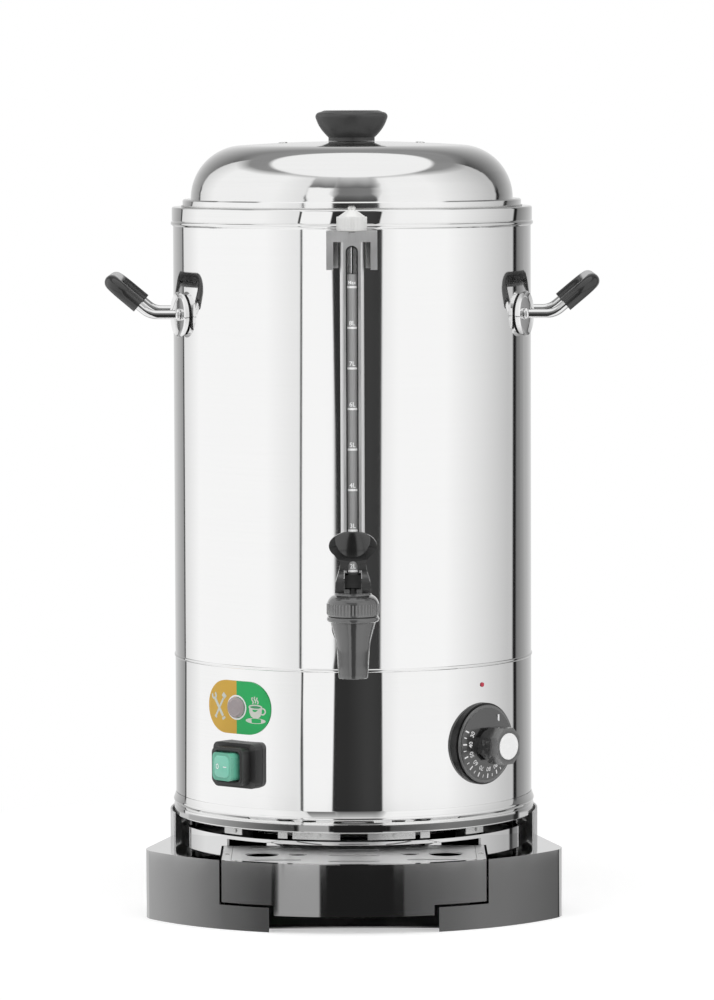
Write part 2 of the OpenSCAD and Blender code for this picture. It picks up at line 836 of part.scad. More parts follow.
module dial_cap() {
    color("white") on_wall(dial_angle, base_z + dial_rise)
        translate([0, 0, grip_h - 1.2]) cylinder(d = dial_cap_d, h = dial_cap_t);
}

module dial_spindle() {
    color("gainsboro") on_wall(dial_angle, base_z + dial_rise) translate([0, 0, -thermo_in - thermo_bore + 2])
        cylinder(d = spindle_d, h = thermo_in + thermo_bore - 2 + grip_h - 6);
}

dot_rise = 94;

module index_dot() {
    color("red") intersection() {
        tube(jacket_r + 0.5, jacket_r + 0.1, seam_z, $fn = wall_fn);
        on_wall(dial_angle, base_z + dot_rise) cylinder(d = 3, h = 30, center = true);
    }
}

// ---- Lid ----

dome_r = pot_r - dome_in;
crown_slope = 4;
crown_r = (dome_r - dome_corner + dome_corner * sin(crown_slope)) / sin(crown_slope);
crown_z = dome_z + dome_h - crown_r;
shoulder_z = crown_z + crown_r * cos(crown_slope) - dome_corner * cos(crown_slope);
skirt_out = pot_r - 1.2;
skirt_drop = 9;
flange_r = pot_r + lip_w;

// Half the section of the domed sheet, at one distance inside its outer face
function dome_line(inset) = concat(
    [[dome_r - inset, dome_z]],
    arc(dome_r - dome_corner, shoulder_z, dome_corner - inset, 0, 90 - crown_slope, 24),
    arc(0, crown_z, crown_r - inset, 90 - crown_slope + 0.5, 90, 7));

module lid_dome() {
    inner = dome_line(sheet_t);
    color("silver") difference() {
        rotate_extrude($fn = 180) polygon(concat(dome_line(0), [for (i = [len(inner) - 1:-1:0]) inner[i]]));
        for (s = [-1, 1]) translate([s * vent_r, 0, dome_z]) cylinder(d = vent_d, h = dome_h + 10);
        translate([0, 0, dome_z]) cylinder(d = lid_screw_d + 2 * gap, h = dome_h + 10);
    }
}

// The flange lies on the pot's rim, and its skirt hangs down inside the pot
module lid_flange() {
    t = sheet_t;
    color("silver") rotate_extrude($fn = 180) polygon([
        [skirt_out - t, flange_z - skirt_drop], [skirt_out, flange_z - skirt_drop], [skirt_out, flange_z],
        [flange_r, flange_z], [flange_r, dome_z - t], [flange_r - t, dome_z],
        [dome_r - t, dome_z], [dome_r - t, dome_z - t], [skirt_out - t, dome_z - 2 * t]]);
}

lid_screw_d = 5;
lid_washer_t = 1;
lid_nut_h = 3.4;
knob_z = dome_z + dome_h;
knob_neck = 15.5;
knob_neck_h = 2.4;

// The knob's side swells from its neck to its edge, as a bowl does
function flare(f) = [knob_neck + (knob_d / 2 - knob_neck) * f * (1.47 - 0.53 * f),
    knob_neck_h + (knob_h - 6 - knob_neck_h) * f];

module lid_knob() {
    r = knob_d / 2;
    h = knob_h;
    color("dimgray") translate([0, 0, knob_z + 0.1]) difference() {
        rotate_extrude() polygon(concat(
            [[0, 0], [knob_neck, 0], [knob_neck, knob_neck_h]], [for (i = [1:8]) flare(i / 9)],
            arc(r - 3, h - 4.2, 3, -20, 70, 6), arc(r - 7, h - 6, 6, 60, 90, 3), [[0, h]]));
        translate([0, 0, -over]) cylinder(d = lid_screw_d + 0.06, h = 13 + over);
    }
}

module lid_screw() {
    under = knob_z - sheet_t - gap - lid_washer_t;
    color("gainsboro") {
        translate([0, 0, under - lid_nut_h - 1]) cylinder(d = lid_screw_d, h = 18);
        translate([0, 0, under]) cylinder(d = 14, h = lid_washer_t);
        translate([0, 0, under - lid_nut_h]) cylinder(d = 9.2, h = lid_nut_h, $fn = 6);
    }
}

// ---- Level gauge ----

bracket_top = jacket_top - 0.6;
bracket_t = 0.8;
nut_h = 8;
tube_z = shank_z + 12;
tube_top = bracket_top + cap_h - 3;

module gauge_tube() {
    color("lightblue", 0.4) translate([0, -gauge_y, tube_z])
        tube(tube_d / 2, tube_d / 2 - tube_t, tube_top - tube_z);
}

module gauge_guard() {
    bottom = socket_top + nut_h + gap;
    top = bracket_top - bracket_t;
    depth = guard_front - jacket_r;
    color("silver") difference() {
        translate([0, 0, bottom]) linear_extrude(top - bottom) difference() {
            translate([0, -guard_front + depth]) rounded(guard_w, 2 * depth, 2.4);
            translate([0, -guard_front + depth]) rounded(guard_w - 2 * guard_t, 2 * (depth - guard_t), 1.6);
            circle(jacket_r + gap);
        }
        translate([0, -guard_front, bottom - over]) linear_extrude(top - 9 - slot_w / 2 - bottom + over)
            square([slot_w, 6], center = true);
        translate([0, -guard_front, top - 9 - slot_w / 2]) rotate([90, 0, 0])
            cylinder(d = slot_w, h = 6, center = true);
    }
}

bracket_leg = 4.4;
bracket_bar = 7;
bracket_notch = 3.9;

module gauge_bracket() {
    depth = guard_front + bracket_t - jacket_r;
    color("silver") difference() {
        translate([0, 0, bracket_top - bracket_h]) linear_extrude(bracket_h) difference() {
            translate([0, -jacket_r - depth / 2]) square([bracket_w, depth], center = true);
            circle(jacket_r + gap / 2);
        }
        translate([0, -jacket_r, bracket_top - bracket_t - bracket_h / 2 - over])
            cube([bracket_w - 2 * bracket_t, 2 * (depth - bracket_t), bracket_h + 2 * over], center = true);
        translate([0, -guard_front, bracket_top - bracket_bar - bracket_h])
            cube([bracket_w - 2 * bracket_leg, 10, 2 * bracket_h], center = true);
        translate([-bracket_notch / 2, -guard_front - 5, bracket_top - bracket_bar - over])
            cube([bracket_notch, 10, bracket_bar + over - bracket_t / 2]);
        translate([0, -gauge_y, bracket_top - 10]) cylinder(r = tube_d / 2 + gap, h = 20);
    }
}

module gauge_cap() {
    color("white") translate([0, -gauge_y, bracket_top + gap]) difference() {
        union() {
            cylinder(d = cap_d, h = cap_h);
            translate([0, 0, cap_h]) cylinder(d1 = cap_d - 2, d2 = 6, h = 4.2);
            translate([0, 0, cap_h + 4.2]) cylinder(d = 5, h = 1.8);
        }
        translate([0, 0, -over]) cylinder(r = tube_d / 2 + gap, h = cap_h - 2 + over);
        translate([0, 0, -over]) cylinder(r = tube_d / 2 + 3 + gap, h = 2.6 + over);
    }
}

module gauge_seals() {
    color("ivory") translate([0, -gauge_y, 0]) {
        translate([0, 0, bracket_top]) tube(tube_d / 2 + 3, tube_d / 2 + 0.1, 2.4);
        translate([0, 0, socket_top]) tube(tube_d / 2 + 1.6, tube_d / 2 + 0.1, 3);
    }
}

module gauge_nut() {
    color("silver") translate([0, -gauge_y, socket_top]) difference() {
        rotate([0, 0, 30]) cylinder(r = socket_r + 3, h = nut_h, $fn = 6);
        translate([0, 0, -over]) cylinder(r = tube_d / 2 + 1.6 + gap, h = 3.3 + over);
        cylinder(r = tube_d / 2 + gap, h = 2 * nut_h);
    }
}

// ---- Tap ----

tap_flange_r = 14;
washer_t = 2;
shank_in = 24;
chamber_top = 19.4;

// Half the section of the spout, the chamber's outside and its collar, about the spout's axis
spout_line = concat([[spout_r - 0.4, -spout_drop], [spout_r, -spout_drop + 0.4], [spout_r + 0.5, -22.5],
    [spout_r + 1.2, -10], [spout_r + 1.9, -5.4], [spout_r + 3.1, -0.5], [spout_r + 5.2, 7]],
    arc(bonnet_d / 2 - 2.2, 9.2, 2, -50, 80, 6), [[neck_r, 11.2], [neck_r, chamber_top]]);

module tap_body() {
    color("black") difference() {
        union() {
            translate([0, -tap_y, shank_z]) rotate_extrude()
                polygon(concat([[0, -spout_drop]], spout_line, [[0, chamber_top]]));
            on_wall(0, shank_z) {
                translate([0, 0, washer_t]) cylinder(r = tap_flange_r, h = 3);
                translate([0, 0, washer_t]) cylinder(r = 9, h = tap_reach - washer_t - 6);
                translate([0, 0, -shank_in]) cylinder(d = shank_d, h = shank_in + 6);
            }
            translate([0, -gauge_y, shank_z]) cylinder(r = socket_r, h = socket_top - shank_z);
        }
        translate([0, -tap_y, shank_z - spout_drop - over]) cylinder(d = spout_bore, h = spout_drop);
        translate([0, -tap_y, seat_z]) cylinder(r = neck_r - 2.4, h = 40);
        on_wall(0, shank_z) translate([0, 0, -shank_in - over])
            cylinder(d = shank_bore, h = shank_in + tap_reach + over);
        translate([0, -gauge_y, shank_z]) cylinder(d = tube_d - 2 * tube_t, h = 30);
        translate([0, -gauge_y, tube_z - gap]) cylinder(r = tube_d / 2 + 0.1, h = 30);
    }
}

inner_washer_r = 13;
inner_washer_t = 2.6;

module tap_washers() {
    color("ivory") difference() {
        on_wall(0, shank_z) difference() {
            translate([0, 0, -1]) cylinder(r = tap_flange_r - 0.6, h = washer_t + 1);
            translate([0, 0, -5]) cylinder(r = shank_d / 2 + gap / 2, h = 20);
        }
        within(jacket_r + gap / 2);
    }
    color("ivory") intersection() {
        on_wall(0, shank_z, pot_r) difference() {
            translate([0, 0, -inner_washer_t]) cylinder(r = inner_washer_r, h = 5);
            translate([0, 0, -5]) cylinder(r = shank_d / 2 + gap / 2, h = 20);
        }
        within(pot_r - gap / 2);
    }
}

tap_nut_h = 6;

module tap_nut() {
    color("goldenrod") on_wall(0, shank_z, pot_r)
    translate([0, 0, -inner_washer_t - tap_nut_h]) difference() {
        cylinder(r = shank_d / 2 + 4.5, h = tap_nut_h, $fn = 6);
        translate([0, 0, -over]) cylinder(r = shank_d / 2 + 0.1, h = tap_nut_h + 2 * over);
    }
}

knurls = 48;

module tap_bonnet() {
    r = bonnet_d / 2;
    h = bonnet_top - collar_z;
    color("black") translate([0, -tap_y, collar_z + gap / 2]) difference() {
        union() {
            rotate_extrude() polygon(concat([[0, 0], [r - 0.8, 0], [r - 0.4, 1], [r - 0.6, 8.2]],
                arc(r - 7.6, 6.6, 7.2, 16, 70, 6), [[r - 5.4, h - gap / 2], [0, h - gap / 2]]));
            for (i = [0:knurls - 1]) rotate([0, 0, i * 360 / knurls])
                translate([r - 0.8, 0, 1]) cylinder(d = 1.3, h = 6.8, $fn = 16);
        }
        translate([0, 0, -over]) cylinder(r = neck_r + gap, h = h - bonnet_wall + over);
        cylinder(d = stem_d + 2 * run_gap, h = 40);
    }
}

cup_r = neck_r - 3.4;
cup_h = 7;
cup_z = seat_z + gap;

module tap_stem() {
    color("gainsboro") translate([0, -tap_y, 0]) difference() {
        union() {
            translate([0, 0, cup_z + cup_h]) cylinder(r = cup_r - 1, h = 1.4);
            translate([0, 0, cup_z + 3]) cylinder(d = stem_d, h = pin_z - cup_z - 3);
            intersection() {
                translate([0, 0, pin_z]) cube([fork_gap - 1, 7, 11], center = true);
                translate([0, 0, pin_z]) rotate([0, 90, 0]) cylinder(r = 5.4, h = 20, center = true);
            }
        }
        translate([0, 0, pin_z]) rotate([0, 90, 0]) cylinder(d = lever_pin_d + 0.04, h = 20, center = true);
    }
}

fork_gap = 11.6;
lever_pin_len = 21.4;

module seat_cup() {
    color("ivory") translate([0, -tap_y, cup_z]) difference() {
        cylinder(r1 = cup_r - 1, r2 = cup_r, h = cup_h);
        translate([0, 0, 3 - 0.02]) cylinder(d = stem_d + 0.04, h = 20);
    }
}

// One turn after another of round wire, as a closed tube along a helix
module coil(mean_r, wire_d, length, turns, rings_per_turn = 18, sides = 6) {
    rings = turns * rings_per_turn;
    points = [for (i = [0:rings], j = [0:sides - 1]) let (
        a = 360 * i / rings_per_turn, b = 360 * j / sides,
        rr = mean_r + wire_d / 2 * cos(b))
        [rr * cos(a), rr * sin(a), wire_d / 2 + (length - wire_d) * i / rings + wire_d / 2 * sin(b)]];
    walls = [for (i = [0:rings - 1], j = [0:sides - 1]) let (k = (j + 1) % sides)
        [i * sides + j, (i + 1) * sides + j, (i + 1) * sides + k, i * sides + k]];
    start = [[for (j = [0:sides - 1]) j]];
    end = [[for (j = [sides - 1:-1:0]) rings * sides + j]];
    polyhedron(points, concat(walls, start, end), convexity = 10);
}

spring_z = cup_z + cup_h + 1.4 + gap;
spring_top = collar_z + gap / 2 + bonnet_top - collar_z - bonnet_wall - 0.1;

module tap_spring() {
    color("gray") translate([0, -tap_y, spring_z]) coil(6, 1.2, spring_top - spring_z, 5);
}

module tap_pin() {
    color("gainsboro") translate([0, -tap_y, pin_z]) rotate([0, 90, 0])
        cylinder(d = lever_pin_d, h = lever_pin_len, center = true);
}

lean = 10;
paddle_h = 19.4;
paddle_up = 23.6;

// Points of an upright oval, from one angle to another
function oval(a, b, up, from, to) =
    [for (i = [0:20]) let (t = from + (to - from) * i / 20) [a * cos(t), up + b * sin(t)]];

// The lever's outline seen from the front, about its pin
module lever_front() {
    half = concat(oval(paddle_w / 2, paddle_h / 2, paddle_up, 90, -38),
        [[9.2, 14.4], [8.4, 12.6], [8.3, 10.8], [9, 7], [11.2, 0], [11.7, -9]]);
    polygon(concat(half, [for (i = [len(half) - 1:-1:1]) [-half[i][0], half[i][1]]]));
}

// The lever's outline seen from the side, about its pin, before it leans towards the user
module lever_side() {
    polygon([[-6.2, -3], [-6, 10], [-5.6, 16], [-6.6, 24], [-8.6, 33.4], [-5, 34], [-2.4, 24],
        [0, 15], [3, 8], [4.4, 0], [2, -4]]);
}

module tap_lever() {
    color("black") translate([0, -tap_y, pin_z]) difference() {
        intersection() {
            translate([0, 30, 0]) rotate([90, 0, 0]) linear_extrude(60) lever_front();
            union() {
                rotate([lean, 0, 0]) translate([-30, 0, 0]) rotate([90, 0, 90])
                    linear_extrude(60) lever_side();
                translate([0, -cam_offset, 0]) rotate([0, 90, 0])
                    cylinder(r = pin_z - bonnet_top - gap, h = 60, center = true);
            }
        }
        translate([0, 0, -20]) cube([fork_gap, 60, 2 * (20 + 7.5)], center = true);
        translate([0, 0, 8]) cube([5.8, 60, 5], center = true);
        translate([0, 0, 10.5]) rotate([90, 0, 0]) cylinder(d = 5.8, h = 60, center = true);
        rotate([0, 90, 0]) cylinder(d = lever_pin_d + 2 * run_gap, h = 60, center = true);
        rotate([lean, 0, 0]) translate([0, -29.6, paddle_up + 1.4]) sphere(r = 25);
    }
}

// ---- Handles ----

bend_r = 14;
grip_corner = 12;
bend_start = jacket_r + bend_out - bend_r * tan(handle_slope / 2);
slope_run = slope_len - bend_r * tan(handle_slope / 2);

// Works about the centre of the right-hand handle's bends
module at_bend() {
    translate([bend_start, 0, handle_z + bend_r]) children();
}

// The sloping part of the right-hand handle, of any diameter, from a distance past its bends
module sloping_loop(d, from) {
    rotate([0, -handle_slope, 0]) translate([0, 0, -bend_r]) {
        for (s = [-1, 1]) {
            translate([from, s * leg_gap / 2, 0]) rotate([0, 90, 0])
                cylinder(d = d, h = slope_run - grip_corner - from, $fn = 48);
            translate([slope_run - grip_corner, s * (leg_gap / 2 - grip_corner), 0])
                rotate([0, 0, s > 0 ? 0 : -90]) rotate_extrude(angle = 90)
                    translate([grip_corner, 0]) circle(d = d, $fn = 48);
        }
        translate([slope_run, 0, 0]) rotate([90, 0, 0])
            cylinder(d = d, h = leg_gap - 2 * grip_corner, center = true, $fn = 48);
    }
}

// The rod ends just clear of the pot's wall
rod_end_x = sqrt(pow(pot_out + gap, 2) - pow((leg_gap - rod_d) / 2, 2));

// The sloping rod is a hair thinner than the bends and starts inside them, so that they are one solid
hair = 0.04;

module handle_rod() {
    at_bend() {
        sloping_loop(rod_d - hair, -0.5);
        for (s = [-1, 1]) translate([0, s * leg_gap / 2, 0]) {
            translate([0, 0, -bend_r]) rotate([0, -90, 0])
                cylinder(d = rod_d, h = bend_start - rod_end_x, $fn = 48);
            rotate([90, 0, 0]) rotate([0, 0, -90]) rotate_extrude(angle = handle_slope)
                translate([bend_r, 0]) circle(d = rod_d, $fn = 48);
        }
    }
}

module handle_rods() {
    color("silver") {
        handle_rod();
        mirror([1, 0, 0]) handle_rod();
    }
}

// How far past its bends the rod is bare
bare_len = 4.4;

module handle_grip() {
    at_bend() difference() {
        sloping_loop(grip_d, bare_len);
        sloping_loop(rod_d + 0.2, bare_len - over);
    }
}

module handle_grips() {
    color("black") {
        handle_grip();
        mirror([1, 0, 0]) handle_grip();
    }
}

// Puts a piece on each of the four legs, square to the jacket
module at_legs(r = jacket_r) {
    for (s = [-1, 1], t = [-1, 1]) on_wall(s * (90 + t * leg_angle), handle_z, r) children();
}

// The four legs' own straight holes
module leg_holes(d) {
    for (t = [-1, 1]) translate([0, t * leg_gap / 2, handle_z]) rotate([0, 90, 0])
        cylinder(d = d, h = 2 * jacket_r + 80, center = true, $fn = 48);
}

gasket_t = 0.6;
dish_h = 4;

module handle_escutcheons() {
    r = escutcheon_d / 2;
    color("silver") difference() {
        at_legs() rotate_extrude($fn = 72) polygon([[0, -3], [r - 3.4, -3], [r - 1, 1.2], [r, dish_h - 0.8],
            [r - 0.8, dish_h], [r - 2.2, dish_h - 1], [r - 5, 2.4], [0, 2.4]]);
        leg_holes(rod_d + 2 * gap);
        within(jacket_r + gasket_t + gap);
    }
}

module handle_gaskets() {
    color("black") intersection() {
        difference() {
            at_legs() translate([0, 0, -3]) cylinder(d = escutcheon_d - 5, h = 6);
            leg_holes(rod_d + 2 * gap);
            within(jacket_r + gap / 2);
        }
        within(jacket_r + gap / 2 + gasket_t);
    }
}

nut_d = 11;
nut_t = 2.6;
nut_x = sqrt(pow(jacket_in - gap, 2) - pow(leg_gap / 2 + nut_d / 2, 2)) - nut_t;

module handle_nuts() {
    color("gainsboro") for (s = [-1, 1], t = [-1, 1])
        translate([s * (nut_x + nut_t / 2), t * leg_gap / 2, handle_z]) rotate([0, 90, 0]) difference() {
            cylinder(d = nut_d, h = nut_t, center = true, $fn = 6);
            cylinder(d = rod_d + 0.1, h = 9, center = true, $fn = 48);
        }
}

stand_shell();
stand_back();
stand_floor();
stand_ring();
tray_runners();
tray_pan();
tray_strips();
tray_rivets();
drip_grille();
base_ring();
base_plate();
base_lugs();
base_screws();
urn_feet();
heater_housing();
outer_jacket();
rim_band();
inner_pot();
pot_floor();
heating_element();
element_clamps();
thermal_cutout();
thermostat();
sensor_bulb();
terminal_block();
mains_inlet();
inlet_pins();
switch_body();
switch_rocker();
indicator_plate();
indicator_lamp();
lamp_body();
dial_ring();
dial_knob();
dial_cap();
dial_spindle();
index_dot();
lid_dome();
lid_flange();
lid_knob();
lid_screw();
gauge_tube();
gauge_guard();
gauge_bracket();
gauge_cap();
gauge_seals();
gauge_nut();
tap_body();
tap_washers();
tap_nut();
tap_bonnet();
tap_stem();
seat_cup();
tap_spring();
tap_pin();
tap_lever();
handle_rods();
handle_grips();
handle_escutcheons();
handle_gaskets();
handle_nuts();
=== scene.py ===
import math
import bpy
from mathutils import Matrix, Vector


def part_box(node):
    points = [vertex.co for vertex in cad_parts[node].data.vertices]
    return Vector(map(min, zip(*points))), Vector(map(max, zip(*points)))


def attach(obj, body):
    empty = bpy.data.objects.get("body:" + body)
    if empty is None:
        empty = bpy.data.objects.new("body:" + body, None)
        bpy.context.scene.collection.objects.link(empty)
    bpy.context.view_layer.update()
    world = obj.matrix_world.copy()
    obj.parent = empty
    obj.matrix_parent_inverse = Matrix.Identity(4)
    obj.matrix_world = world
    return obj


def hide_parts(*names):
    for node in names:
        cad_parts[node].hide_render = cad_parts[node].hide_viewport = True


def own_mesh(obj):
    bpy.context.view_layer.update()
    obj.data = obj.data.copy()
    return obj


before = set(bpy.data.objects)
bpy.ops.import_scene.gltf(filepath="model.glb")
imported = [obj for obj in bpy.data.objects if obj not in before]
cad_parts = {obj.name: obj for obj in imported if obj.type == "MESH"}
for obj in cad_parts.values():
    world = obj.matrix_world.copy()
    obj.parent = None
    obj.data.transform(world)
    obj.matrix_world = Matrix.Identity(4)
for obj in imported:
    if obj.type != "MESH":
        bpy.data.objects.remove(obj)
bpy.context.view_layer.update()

# ---- Sizes repeated from part.scad: metres, and degrees round the jacket ----

JACKET_R = 0.120
SHEET_T = 0.0008
FIT_GAP = 0.0003
FOOT_H = 0.0143
FOOT_FLANGE_T = 0.001
COLLAR_RISE = 0.006
GAUGE_Y = 0.132
TUBE_R = 0.005
GUARD_FRONT = 0.139
SLOT_W = 0.0075
SLOT_TOP = 0.4426
SPRING_WIRE = 0.0012
SPRING_TURNS = 5
SEAM_Z = 0.165
JACKET_TOP = 0.453
HANDLE_Z = 0.395
LEG_Y = 0.042
DIAL = (45.0, 0.113)
SKIRT_R = 0.024
SKIRT_UP = 0.0040
SKIRT_RISE = 0.0026 / 0.014
SWITCH = (-38.5, 0.1008)
LAMP = (-39.5, 0.1384)
PLATE_UP = 0.00095
ROCKER_PIN_N = 0.009
ROCKER_TOP = 0.0175
ROCKER_TILT = 9.0
MAX_Z = 0.4162
LITRE = 0.0263
CROWN_R = 1.07484
CROWN_Z = 0.5093 - CROWN_R
VENT_R = 0.046
POT_R = 0.110


# ---- Shader building ----

class Value:
    """A shader value that takes part in arithmetic: each operation adds one Math node."""

    def __init__(self, tree, socket):
        self.tree, self.socket = tree, socket

    def math(self, operation, *terms, clamp=False):
        node = self.tree.nodes.new("ShaderNodeMath")
        node.operation = operation
        node.use_clamp = clamp
        for slot, term in zip(node.inputs, terms):
            if isinstance(term, Value):
                self.tree.links.new(term.socket, slot)
            else:
                slot.default_value = term
        return Value(self.tree, node.outputs[0])

    def __add__(self, other):
        return self.math("ADD", self, other)

    def __radd__(self, other):
        return self.math("ADD", other, self)

    def __sub__(self, other):
        return self.math("SUBTRACT", self, other)

    def __rsub__(self, other):
        return self.math("SUBTRACT", other, self)

    def __mul__(self, other):
        return self.math("MULTIPLY", self, other)

    def __rmul__(self, other):
        return self.math("MULTIPLY", other, self)

    def __truediv__(self, other):
        return self.math("DIVIDE", self, other)

    def __rtruediv__(self, other):
        return self.math("DIVIDE", other, self)

    def above(self, other):
        return self.math("GREATER_THAN", self, other)

    def below(self, other):
        return self.math("LESS_THAN", self, other)

    def size(self):
        return self.math("ABSOLUTE", self)

    def root(self):
        return self.math("SQRT", self)

    def clip(self):
        return self.math("ADD", self, 0.0, clamp=True)

    def ramp(self, low, high):
        """0 below low, 1 above high, straight in between."""
        return ((self - low) / (high - low)).clip()

    def band(self, low, high, soft):
        """1 between two values, with soft borders."""
        return self.ramp(low - soft, low + soft) * (1.0 - self.ramp(high - soft, high + soft))

    def towards(self, other, share):
        """Moves to another value by a share from 0 to 1."""
        return self + (other - self) * share


class Nodes:
    """Adds nodes to one tree."""

    def __init__(self, tree):
        self.tree = tree
        tree.nodes.clear()

    def add(self, kind, settings=(), output=0, **values):
        """A node of this kind: settings first, then its sockets' values or links, by name or as n0, n1
        and so on. Gives one output."""
        node = self.tree.nodes.new(kind)
        for key, setting in dict(settings).items():
            setattr(node, key, setting)
        for key, value in values.items():
            numbered = key[0] == "n" and key[1:].isdigit()
            slot = node.inputs[int(key[1:]) if numbered else key.replace("_", " ")]
            if isinstance(value, Value):
                self.tree.links.new(value.socket, slot)
            else:
                slot.default_value = value
        return Value(self.tree, node.outputs[output]) if len(node.outputs) else None

    def place(self, x=1.0, y=1.0, z=1.0):
        """Object coordinates, in metres, stretched along each axis."""
        where = self.add("ShaderNodeTexCoord", output="Object")
        return self.add("ShaderNodeVectorMath", {"operation": "MULTIPLY"}, n0=where, n1=(x, y, z))

    def axes(self, where=None):
        """The three parts of a vector, or of the object coordinates."""
        where = where or self.place()
        return [self.add("ShaderNodeSeparateXYZ", output=k, Vector=where) for k in range(3)]

    def noise(self, where, scale=1.0, detail=2.0, rough=0.5):
        """Smooth noise, about 0.5 on average."""
        return self.add("ShaderNodeTexNoise", Vector=where, Scale=scale, Detail=detail, Roughness=rough)

    def mix(self, fac, low, high):
        """A colour between two colours."""
        return self.add("ShaderNodeMix", {"data_type": "RGBA"}, output=2, n0=fac, n6=low, n7=high)

    def edges(self):
        """1 on sharp outer edges, 0 on flat faces."""
        return self.add("ShaderNodeNewGeometry", output="Pointiness").ramp(0.52, 0.62)


def rgb(r, g, b):
    """A colour written as 0 to 255 screen values, made linear."""
    def linear(c):
        c /= 255
        return c / 12.92 if c <= 0.04045 else ((c + 0.055) / 1.055) ** 2.4
    return (linear(r), linear(g), linear(b), 1.0)


def grey(level):
    return (level, level, level, 1.0)


def material(name, build, **constants):
    """A Principled material. build(nodes) gives the sockets that vary, and a bump height in metres."""
    made = bpy.data.materials.new(name)
    made.use_nodes = True
    nodes = Nodes(made.node_tree)
    varying = build(nodes)
    height = varying.pop("height", None)
    if height is not None:
        varying["Normal"] = nodes.add("ShaderNodeBump", Height=height, Distance=1.0, Strength=1.0)
    shader = nodes.add("ShaderNodeBsdfPrincipled", **constants, **varying)
    nodes.add("ShaderNodeOutputMaterial", Surface=shader)
    return made


# How far the polishing noise is stretched along each axis
POLISH = {"round": (8.0, 8.0, 1800.0), "across": (8.0, 1500.0, 1500.0), "upright": (2200.0, 2200.0, 9.0)}


def steel(name, level, rough, lines, grain=1.0, ripple=1.0, warm=0.0, streak=0.05, wear_and_sheen=1.0, metal=1.0):
    """Steel sheet: fine polishing lines, faint wiping marks, a slow ripple, and edges lighter for wear and as
    a painted highlight.
    """
    def build(n):
        where = n.place()
        if lines == "rings":
            x, y, _ = n.axes()
            across = (x * x + y * y).root()
            stretched = n.add("ShaderNodeCombineXYZ", X=across * 1800.0, Y=x * 6.0, Z=y * 6.0)
        else:
            stretched = n.place(*POLISH[lines])
        polish = n.noise(stretched, rough=0.6)
        wiped = n.noise(where, 26.0, detail=3.0, rough=0.55).ramp(0.45, 0.75)
        broad = n.noise(where, 7.0, detail=1.0, rough=0.4)
        edge = n.edges()
        dull = level * (1.0 - streak)
        dark = (dull, dull, dull * (1.0 - warm), 1.0)
        light = (level, level, level * (1.0 - warm), 1.0)
        colour = n.mix(polish, dark, light)
        # Edges are mixed towards a paler grey: wear, and a painted highlight
        bright = n.mix(edge * (0.5 * wear_and_sheen), colour, grey(min(0.95, level * 1.12)))
        return {
            "Base_Color": bright,
            "Roughness": rough * (1.0 + 0.5 * wiped + grain * (polish - 0.5).size()) + edge * (0.03 * wear_and_sheen),
            "height": polish * (0.0000006 * grain) + broad * (0.00004 * ripple),
        }
    return material(name, build, Metallic=metal)


def plastic(name, colour, rough, grain=0.00001, fine=900.0, wear_and_sheen=0.25, lift=1.25, **constants):
    """Moulded plastic: a fine surface grain, cloudy gloss, and edges made paler for wear and as a painted
    highlight.
    """
    def build(n):
        where = n.place()
        speck = n.noise(where, fine)
        cloud = n.noise(where, 40.0, detail=3.0, rough=0.6)
        edge = n.edges()
        dull = tuple(c * 0.86 for c in colour[:3]) + (1.0,)
        pale = tuple(min(0.95, c * lift + 0.02) for c in colour[:3]) + (1.0,)
        body = n.mix(cloud, dull, colour)
        return {
            # Paler edges: wear, and a painted highlight
            "Base_Color": n.mix(edge * wear_and_sheen, body, pale),
            "Roughness": rough + 0.10 * (cloud - 0.5) + 0.08 * edge,
            "height": speck * grain,
        }
    return material(name, build, **constants)


def indicator():
    """The printed film: one half amber, one half green, parted on the plate's middle line."""
    def build(n):
        x, y, _ = n.axes()
        turn = x.math("ARCTAN2", x, 0.0 - y) * (180.0 / math.pi)
        right = (turn - LAMP[0]).ramp(-0.04, 0.04)
        cloud = n.noise(n.place(), 60.0, detail=3.0, rough=0.6)
        amber = n.mix(cloud, rgb(212, 166, 52), rgb(222, 178, 60))
        green = n.mix(cloud, rgb(2, 170, 86), rgb(8, 182, 96))
        return {
            "Base_Color": n.mix(right, amber, green),
            "Roughness": 0.32 + 0.10 * cloud,
            "height": n.noise(n.place(), 1200.0) * 0.000004,
        }
    return material("indicator_film_mat", build, Coat_Weight=0.25, Coat_Roughness=0.15)


def dial_face():
    """Glossy black plastic: a fine grain, a cloudy gloss and edges painted paler as a highlight."""
    def build(n):
        where = n.place()
        speck = n.noise(where, 1400.0, rough=0.6)
        cloud = n.noise(where, 50.0, detail=3.0, rough=0.6)
        edge = n.edges()
        body = n.mix(cloud, grey(0.014), grey(0.022))
        return {
            # Edges mixed towards grey: a painted highlight
            "Base_Color": n.mix(edge * 0.45, body, grey(0.26)),
            "Roughness": 0.16 + 0.08 * cloud,
            "height": speck * 0.000012,
        }
    return material("dial_plastic_mat", build, Specular_IOR_Level=1.0, Coat_Weight=1.0, Coat_Roughness=0.10)


